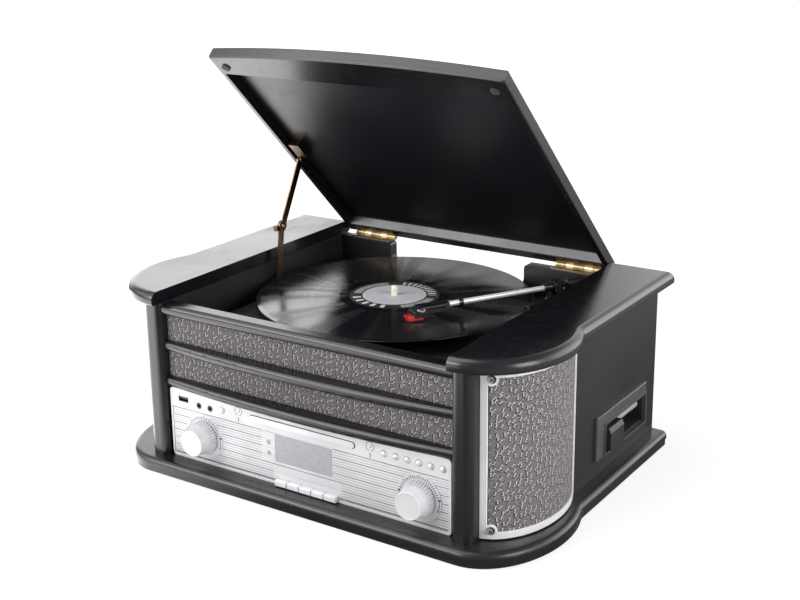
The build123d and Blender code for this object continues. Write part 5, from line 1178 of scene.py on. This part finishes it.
def arm_turnings():
    """Tube, collar, ferrule, weight and cross pin, and the needle's tip."""
    tube = [
        (0.01, 18.0), (2.8, 18.0), (2.8, 122.5), (2.55, 123.0), (2.55, 124.2), (2.8, 124.7), (2.8, 134.6),
        (0.01, 134.6)]
    collar = [
        (0.01, 6.8), (4.0, 6.8), (4.4, 7.3), (4.4, 13.5), (3.9, 14.0), (3.9, 15.2), (4.4, 15.7), (4.4, 18.4),
        (3.9, 19.0), (0.01, 19.0)]
    ferrule = [(2.85, 117.5), (3.6, 117.9), (3.6, 122.2), (2.85, 122.6), (2.85, 117.5)]
    weight = [
        (0.01, -31.0), (4.6, -31.0), (5.3, -30.5), (5.5, -29.8), (5.5, -20.0), (5.1, -19.4), (5.1, -18.2),
        (5.5, -17.6), (5.5, -10.2), (5.0, -9.4), (3.2, -9.2), (3.2, -6.8), (0.01, -6.8)]
    pin = [(0.01, -10.5), (1.3, -10.5), (1.5, -10.2), (1.5, 10.2), (1.3, 10.5), (0.01, 10.5)]
    tip = [(0.01, 0.0), (0.15, 0.0), (0.5, 0.7), (0.9, 1.4), (0.01, 1.4)]
    tip_spot = Vector((181.0, 0, -11.9)) * MM
    turnings = (
        ("arm_tube", tube, 40, ORIGIN, arm_chrome, "X", "arm_chrome"),
        ("arm_collar", collar, 48, ORIGIN, arm_black, "X", "black_plastic"),
        ("arm_ferrule", ferrule, 48, ORIGIN, arm_black, "X", "black_plastic"),
        ("arm_weight", weight, 48, ORIGIN, weight_black, "X", "black_plastic"),
        ("arm_cross_pin", pin, 24, ORIGIN, arm_chrome, "Y", "arm_chrome"),
        ("stylus_tip", tip, 16, tip_spot, arm_chrome, "Z", "arm_chrome"))
    for name, profile, steps, centre, material, axis, slot in turnings:
        piece = on_arm(turned(name, profile, steps, centre, "arm", material, axis=axis))
        if name == "arm_tube":
            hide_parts("tonearm_tube")


def arm_mouldings():
    """Pivot block, headshell, pick-up and stylus holder."""
    blocks = (
        ("arm_pivot_block", ((-7, 7), (-7.5, 7.5), (-5, 5)), 1.1, arm_black, None),
        ("headshell", ((134, 178), (-7.5, 7.5), (-5, 3)), 0.9, arm_black, headshell_shape),
        ("pickup_body", ((158.0, 176.0), (-5.75, 5.75), (-8.4, -5.0)), 0.5, black_plastic, None),
        ("stylus_holder", ((165.5, 184.6), (-5.4, 5.4), (-11.2, -5.2)), 0.9, stylus_red, stylus_shape))
    for name, spans, ease, material, reshape in blocks:
        piece = eased_block(name, spans, ease, material, reshape)
        if name == "pickup_body":
            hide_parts("cartridge")


def finger_lift():
    """A bent wire along a smooth line, moulded into the headshell's side."""
    points = [(165, 6.5, 0.5), (168, 11.0, 0.4), (172, 15.0, 1.2), (178.5, 17.2, 4.8)]
    line = bpy.data.curves.new("finger_lift", "CURVE")
    line.dimensions = "3D"
    line.bevel_depth = 0.85
    line.bevel_resolution = 4
    line.use_fill_caps = True
    spline = line.splines.new("NURBS")
    spline.points.add(len(points) - 1)
    for point, spot in zip(spline.points, points):
        point.co = Vector(spot).to_4d()
    spline.order_u = 3
    spline.use_endpoint_u = True
    spline.resolution_u = 8
    holder = bpy.data.objects.new("finger_lift", line)
    bpy.context.scene.collection.objects.link(holder)
    bpy.context.view_layer.update()
    mesh = bpy.data.meshes.new_from_object(holder.evaluated_get(bpy.context.evaluated_depsgraph_get()))
    bpy.data.objects.remove(holder)
    mesh.transform(Matrix.Scale(MM, 4))
    on_arm(body_piece("finger_lift", mesh, lift_grey, "arm"))


arm_turnings()
arm_mouldings()
finger_lift()

# ---- Lid ----
# A rebated wooden rim, broad at the bowed front, round a thin glossy board.
# Paint rounds over the rim's front edges, and a slim cove closes the board's rear joint.
# Two round pads let into the front rim keep it off the rail when it is shut.


def gloss_black(name, low, high):
    """Deep black lacquer, flowed out smooth, with finger marks."""
    lacquer = Finish(name)
    marks = lacquer.shared(handling, Patch_Scale=5.0, Streak_Scale=90.0)
    edges = lacquer.shared(eased, Radius=0.0008, Rub=0.15)
    coat = lacquer.tint(marks["Patches"], (0.0062, 0.0052, 0.0085), (0.0095, 0.0085, 0.0125))
    patches = lacquer.fade(marks["Patches"], 0, 1, low, high)
    lacquer.give(
        Base_Color=lacquer.tint(edges["Worn"], coat, (0.06, 0.055, 0.055)),
        Roughness=lacquer.calc("MULTIPLY_ADD", marks["Streaks"], 0.05, patches))
    lacquer.relief(lacquer.noise(60.0, 1.0), 0.00002, edges["Normal"])
    return lacquer.material


dress(gloss_black("lid lacquer", 0.33, 0.38), "lid_panel")
rim_paint = black_paint("satin black lid rim", ACROSS, 0.22, 0.3, 0.3, 0.05, 0.0003)
dress(rim_paint, "lid_frame")
dress(soft_rubber("bumper rubber", (0.03, 0.03, 0.032)), "lid_bumpers")

HINGE_Y, HINGE_Z = 178.0, 186.9
HINGE_LINE = Vector((0, HINGE_Y, HINGE_Z)) * MM
LID_SWING = Matrix.Rotation(math.radians(-44.4), 4, "X")
LID_TURN = Matrix.Translation(HINGE_LINE) @ LID_SWING @ Matrix.Translation(-HINGE_LINE)


def lid_trim(name, shape, outward=True):
    """A painted piece of the lid, drawn with the lid shut and swung up with it."""
    mesh = meshed(name, shape, outward)
    mesh.transform(LID_TURN)
    return mesh


def rear_cove():
    """Slim sloping fillet where the panel meets the rear rim."""
    section = ((161.4, 187.4), (161.4, 197.3), (157.2, 197.3), (157.2, 196.6), (160.6, 187.4))
    shape = bmesh.new()
    ends = [[shape.verts.new(Vector((x, y, z)) * MM) for y, z in section] for x in (-168.8, 168.8)]
    shape.faces.new(ends[0])
    shape.faces.new(ends[1][::-1])
    bridge(shape, ends)
    mesh = lid_trim("lid_rear_cove", shape)
    body_piece("lid_rear_cove", mesh, rim_paint, "lid", smooth=False)


def lid_beads():
    """Smooth skins of paint over the rounded upper and lower edges of the bowed front."""
    half, corner_y, bow = 175.0, -169.3, 10.4
    rounding, skin, depth, lap = 2.0, 0.03, 0.3, 1.2
    radius = (half ** 2 + bow ** 2) / (2 * bow)
    centre_y = corner_y - bow + radius
    swing = math.asin((half - 2.2) / radius)
    quarter = [(math.cos(math.pi / 2 * step / 10), math.sin(math.pi / 2 * step / 10)) for step in range(11)]
    over, under = rounding + skin, rounding - depth
    section = [(skin, -rounding - lap)]
    section += [(over * cosine - rounding, over * sine - rounding) for cosine, sine in quarter]
    section += [(-rounding - lap, skin), (-rounding - lap, -depth)]
    section += [(under * sine - rounding, under * cosine - rounding) for cosine, sine in quarter]
    section += [(-depth, -rounding - lap)]
    for name, level, sign in (("lid_bead_upper", 199.9, 1), ("lid_bead_lower", 186.5, -1)):
        shape = bmesh.new()
        rings = []
        for station in range(97):
            turn = swing * (station / 48 - 1)
            rings.append([])
            for out, rise in section:
                reach = radius + out
                spot = (reach * math.sin(turn), centre_y - reach * math.cos(turn), level + sign * rise)
                rings[-1].append(shape.verts.new(Vector(spot) * MM))
        bridge(shape, rings)
        shape.faces.new(rings[0])
        shape.faces.new(rings[-1][::-1])
        bmesh.ops.recalc_face_normals(shape, faces=shape.faces[:])
        for edge in shape.edges:
            edge.smooth = edge.calc_face_angle(0) < 0.6
        mesh = lid_trim(name, shape, outward=False)
        body_piece(name, mesh, rim_paint, "lid")


rear_cove()
lid_beads()

# ---- Hinges ----
# Two pressed brass butt hinges, rolled round steel pins and fixed with cross-head screws.
# The knuckles of the two leaves alternate along each pin.


def plated_brass(name, base, rough, aged):
    """Plated brass, browned in patches and rubbed bright on its edges."""
    brass = Finish(name, Metallic=1.0)
    marks = brass.shared(handling, Patch_Scale=90.0, Streak_Scale=420.0)
    edges = brass.shared(eased, Radius=0.0002, Rub=0.3)
    metal = brass.tint(marks["Patches"], base, toned(base, aged))
    brass.give(
        Base_Color=brass.tint(edges["Worn"], metal, toned(base, 1.25)),
        Roughness=brass.fade(marks["Streaks"], 0, 1, rough, rough + 0.18))
    brass.relief(brass.noise(600.0, 3.0), 0.000006, edges["Normal"])
    return brass.material


hinge_brass = plated_brass("hinge brass", (0.36, 0.28, 0.165), 0.3, 0.7)
pale_brass = plated_brass("pale hinge brass", (0.66, 0.57, 0.41), 0.26, 0.85)
dress(hinge_brass, "hinge_fixed_leaves")
dress(plated_brass("lid leaf brass", (0.30, 0.235, 0.14), 0.34, 0.8), "hinge_lid_leaves")


def hinge_knuckles():
    """Rolled knuckles with eased ends, the lid's paler than the fixed ones."""
    low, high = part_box("hinge_fixed_leaves")
    length, radius, half, ease, bore = 57.0, 2.72, 5.3, 0.5, 1.3
    profile = [
        (bore, -half), (radius - ease, -half), (radius, ease - half), (radius, half - ease),
        (radius - ease, half), (bore, half), (bore, -half)]
    for hand, middle in (("left", low[0] / MM + length / 2), ("right", high[0] / MM - length / 2)):
        for index in range(5):
            body, material = (("cabinet", hinge_brass), ("lid", pale_brass))[index % 2]
            spot = Vector((middle + (index - 2) * length / 5, HINGE_Y, HINGE_Z)) * MM
            name = f"hinge_knuckle_{hand}_{index + 1}"
            turned(name, profile, 28, spot, body, material, axis="X")


def screw_head(name, spot, facing, radius, body, material, swing=None):
    """A cross-head screw: a shallow dome with two crossed cuts, facing along an axis."""
    shape = bmesh.new()
    steps, cut = 24, 0.16
    rings = []
    for reach, rise in ((1.0, 0.0), (0.97, 0.1), (0.8, 0.16), (0.55, 0.2), (0.3, 0.21)):
        turns = [2 * math.pi * step / steps for step in range(steps)]
        rings.append([shape.verts.new(radius * Vector((reach * math.cos(turn), reach * math.sin(turn), rise)))
                      for turn in turns])
    bridge(shape, rings)
    shape.faces.new(rings[-1])
    shape.faces.new(rings[0][::-1])
    for ring in rings[3:]:
        for vert in ring[::6]:
            vert.co.z -= radius * cut
    mesh = meshed(name, shape)
    mesh.transform(aimed(Vector(spot) * MM, facing) @ Matrix.Scale(MM, 4))
    if swing:
        mesh.transform(swing)
    return body_piece(name, mesh, material, body)


def hinge_screws():
    """Three screws in each leaf that shows when the lid is up."""
    leaf_middle, pitch, screw_y, head = 136.5, 20.0, 168.2, 2.3
    leaves = (
        ("fixed", 186.3, (0, 0, 1), "cabinet", None),
        ("lid", 187.55, (0, 0, -1), "lid", LID_TURN))
    for number, x in enumerate((-leaf_middle, leaf_middle), start=1):
        for which, along in enumerate((-pitch, 0.0, pitch), start=1):
            for leaf, z, facing, body, swing in leaves:
                name = f"hinge_screw_{leaf}_{number}_{which}"
                spot = (x + along, screw_y, z)
                screw_head(name, spot, facing, head, body, hinge_brass, swing)


hinge_knuckles()
hinge_screws()

# ---- Folding stay ----
# Two flat bronzed bars joined by a rivet at the elbow, from the well wall up to the lid.
# The lid end hangs from a riveted plate, with a small glossy stop block beside it.
bronze = plated_brass("bronzed bar", (0.17, 0.115, 0.07), 0.3, 0.55)
dress(bronze, "stay_lower_arm", "stay_upper_arm", "stay_bracket")
bright_rivet = plated_brass("bright rivet", (0.66, 0.46, 0.22), 0.22, 0.75)


def rivet_caps():
    """Domed heads closed over the ends of the rivets, facing the middle of the well."""
    rise, steps = 0.7, 8
    rivets = (
        ("elbow_rivet", (-164.8, 32.5, 226.7), 3.4, "stay_upper"),
        ("lid_rivet", (-164.8, 69.26, 297.13), 3.0, "stay_upper"),
        ("foot_rivet", (-166.3, 22.8, 146.0), 3.2, "cabinet"))
    for name, (x, y, z), radius, body in rivets:
        profile = [(radius, x - 0.4)]
        for step in range(steps):
            turn = math.pi / 2 * step / steps
            profile.append((radius * math.cos(turn), x + rise * math.sin(turn)))
        profile.append((0.01, x + rise))
        turned(name, profile, 32, Vector((0, y, z)) * MM, body, bright_rivet, axis="X")


rivet_caps()

# ---- Rear connections ----
# A small steel plate with two phono sockets and the lead's gland, screwed over a hole.
# The sockets have coloured insulating rings and a plated outer sleeve.
dress(black_plastic, "terminal_plate")


def rear_fittings():
    """Sleeves, coloured rings and screws of the terminal plate."""
    height = 62
    sleeve_metal = satin_silver("socket plating", (0.66, 0.64, 0.60), 0.2, (1.0, 1.0, 1.0), 1.0)
    white = moulded("white ring", (0.7, 0.69, 0.66), 0.35)
    red = moulded("red ring", (0.55, 0.02, 0.02), 0.35)
    ring = [(4.2, 176.0), (6.4, 176.0), (6.4, 176.9), (6.0, 177.3), (4.2, 177.3), (4.2, 176.0)]
    sleeve = [(4.16, 177.3), (4.35, 177.3), (4.35, 183.4), (4.16, 183.9), (4.16, 177.3)]
    for hand, x, plastic in (("right", -135.0, red), ("left", -119.0, white)):
        spot = Vector((x, 0, height)) * MM
        for name, profile, material in (("ring", ring, plastic), ("sleeve", sleeve, sleeve_metal)):
            piece = turned(f"phono_{name}_{hand}", profile, 36, spot, "cabinet", material)
    for number, (x, z) in enumerate(((-155, 77), (-65, 77), (-155, 47), (-65, 47)), start=1):
        screw = screw_head(f"terminal_screw_{number}", (x, 176.0, z), (0, 1, 0), 2.4, "cabinet", screw_steel)
    gland = [
        (3.4, 175.9), (8.2, 175.9), (8.2, 178.0), (7.1, 178.3), (7.1, 179.2), (6.0, 179.3), (3.4, 179.3),
        (3.4, 175.9)]
    nut = turned("gland_nut", gland, 6, Vector((-82, 0, height)) * MM, "cabinet", black_plastic)


rear_fittings()

# ---- Floor, light and camera ----
# A pale seamless sweep and a pale room, which glossy faces see as a studio with bright screens.
# Three soft lamps light it: one overhead, one from the front left and one from the right.


def pale_sweep():
    """Floor disc: white to the eye but for a faint shadow, and brighter on the left in what mirrors it."""
    shape = bmesh.new()
    bmesh.ops.create_circle(shape, cap_ends=True, segments=96, radius=4.0)
    mesh = meshed("sweep", shape, outward=False)
    floor = bpy.data.objects.new("sweep", mesh)
    bpy.context.scene.collection.objects.link(floor)
    material = bpy.data.materials.new("pale sweep")
    material.use_nodes = True
    sweep = Recipe(material.node_tree)
    sweep.tree.nodes.remove(sweep.tree.nodes["Principled BSDF"])
    seen = sweep.put("LightPath").outputs
    mirrored = seen["Is Glossy Ray"]
    spot = sweep.spot()
    parts = sweep.parts(spot)
    beside = sweep.times(sweep.fade(parts["X"], 0.08, -0.40), sweep.fade(parts["Y"], 0.26, 0.08))
    left_glow = sweep.fade(beside, 0.0, 1.0, 0.2, 4.6)
    glow = sweep.calc("ADD", left_glow, sweep.fade(parts["X"], 0.27, 0.6, 0.0, 0.45))
    floor_white = sweep.times(sweep.calc("SUBTRACT", 1.0, mirrored), 1.25)
    strength = sweep.calc("ADD", sweep.times(mirrored, glow), floor_white)
    reach = sweep.put("VectorMath", {0: spot}, operation="LENGTH").outputs["Value"]
    plain = sweep.times(seen["Is Camera Ray"], sweep.fade(reach, 0.45, 1.1, 0.6, 1.0))
    paper = sweep.put("BsdfDiffuse", {"Color": (0.86, 0.86, 0.86)})
    white = sweep.put("Emission", {"Color": (1, 1, 1), "Strength": strength})
    share = sweep.calc("MAXIMUM", plain, mirrored)
    both = sweep.put("MixShader", {0: share, 1: paper.outputs[0], 2: white.outputs[0]})
    sweep.feed(sweep.tree.nodes["Material Output"].inputs["Surface"], both.outputs[0])
    mesh.materials.append(material)


def room():
    """Pale surroundings, white to the eye; what mirrors them finds bright screens behind and in front."""
    world = bpy.data.worlds.new("room")
    bpy.context.scene.world = world
    world.use_nodes = True
    walls = Recipe(world.node_tree)
    way = walls.parts(walls.put("TexCoord").outputs["Generated"])
    seen = walls.put("LightPath").outputs
    behind = walls.times(walls.fade(way["Y"], 0.2, 0.55), walls.fade(way["Z"], 0.75, 0.4))
    far_left = walls.fade(way["X"], -0.5, -0.61, 0.35, 2.5)
    middle = walls.fade(way["X"], -0.42, -0.34, 0.0, 0.9)
    far_right = walls.calc("ADD", middle, walls.fade(way["X"], 0.1, 0.4, 0.0, 2.4))
    screen = walls.times(behind, walls.calc("ADD", far_left, far_right))
    side_wall = walls.fade(way["X"], 0.3, -0.8, 0.3, 0.45)
    front = walls.times(
        walls.fade(way["Y"], 0.15, -0.2), walls.fade(way["Z"], 0.1, 0.35),
        walls.fade(way["X"], 0.0, -0.4, 0.0, 2.2), walls.fade(way["Z"], 0.8, 0.55, 0.25, 1.0))
    level = walls.calc("ADD", walls.calc("ADD", screen, side_wall), front)
    grey = walls.put("CombineXYZ", {0: level, 1: level, 2: level}).outputs[0]
    ambient = (0.4, 0.4, 0.4)
    filled = walls.tint(seen["Is Glossy Ray"], ambient, grey)
    direct = walls.calc("MAXIMUM", seen["Is Camera Ray"], seen["Is Transmission Ray"])
    walls.feed(walls.tree.nodes["Background"].inputs["Color"], walls.tint(direct, filled, (1, 1, 1)))


def soft_lamp(name, spot, size, power):
    """A square soft light aimed at the middle of the cabinet."""
    lamp = bpy.data.lights.new(name, "AREA")
    lamp.shape = "RECTANGLE"
    lamp.size, lamp.size_y = size
    lamp.energy = power
    holder = bpy.data.objects.new(name, lamp)
    holder.location = spot
    aim = Vector((0, 0, 0.1)) - Vector(spot)
    holder.rotation_euler = aim.to_track_quat("-Z", "Y").to_euler()
    bpy.context.scene.collection.objects.link(holder)


def camera():
    """Camera at the viewing angle."""
    view = bpy.data.cameras.new("view")
    view.sensor_width = 36.0
    view.lens = 60.39
    view.shift_x, view.shift_y = 0.0241, -0.0482
    holder = bpy.data.objects.new("view", view)
    yaw, pitch, roll = math.radians(34.3), math.radians(16.3), math.radians(-0.9)
    ahead = Vector((-math.sin(yaw) * math.cos(pitch), math.cos(yaw) * math.cos(pitch), -math.sin(pitch)))
    level = Vector((math.cos(yaw), math.sin(yaw), 0))
    rise = level.cross(ahead)
    right = level * math.cos(roll) + rise * math.sin(roll)
    up = rise * math.cos(roll) - level * math.sin(roll)
    facing = Matrix((right, up, -ahead)).transposed().to_4x4()
    holder.matrix_world = Matrix.Translation((0.7583, -1.1261, 0.6148)) @ facing
    bpy.context.scene.collection.objects.link(holder)
    bpy.context.scene.camera = holder


pale_sweep()
room()
soft_lamp("overhead", (-0.6, -0.4, 1.8), (1.4, 1.2), 15)
soft_lamp("front left", (-1.15, -1.85, 1.15), (1.6, 1.3), 35)
soft_lamp("right side", (2.0, -0.3, 0.8), (0.9, 1.2), 30)
camera()
bpy.context.scene.view_settings.view_transform = "Standard"
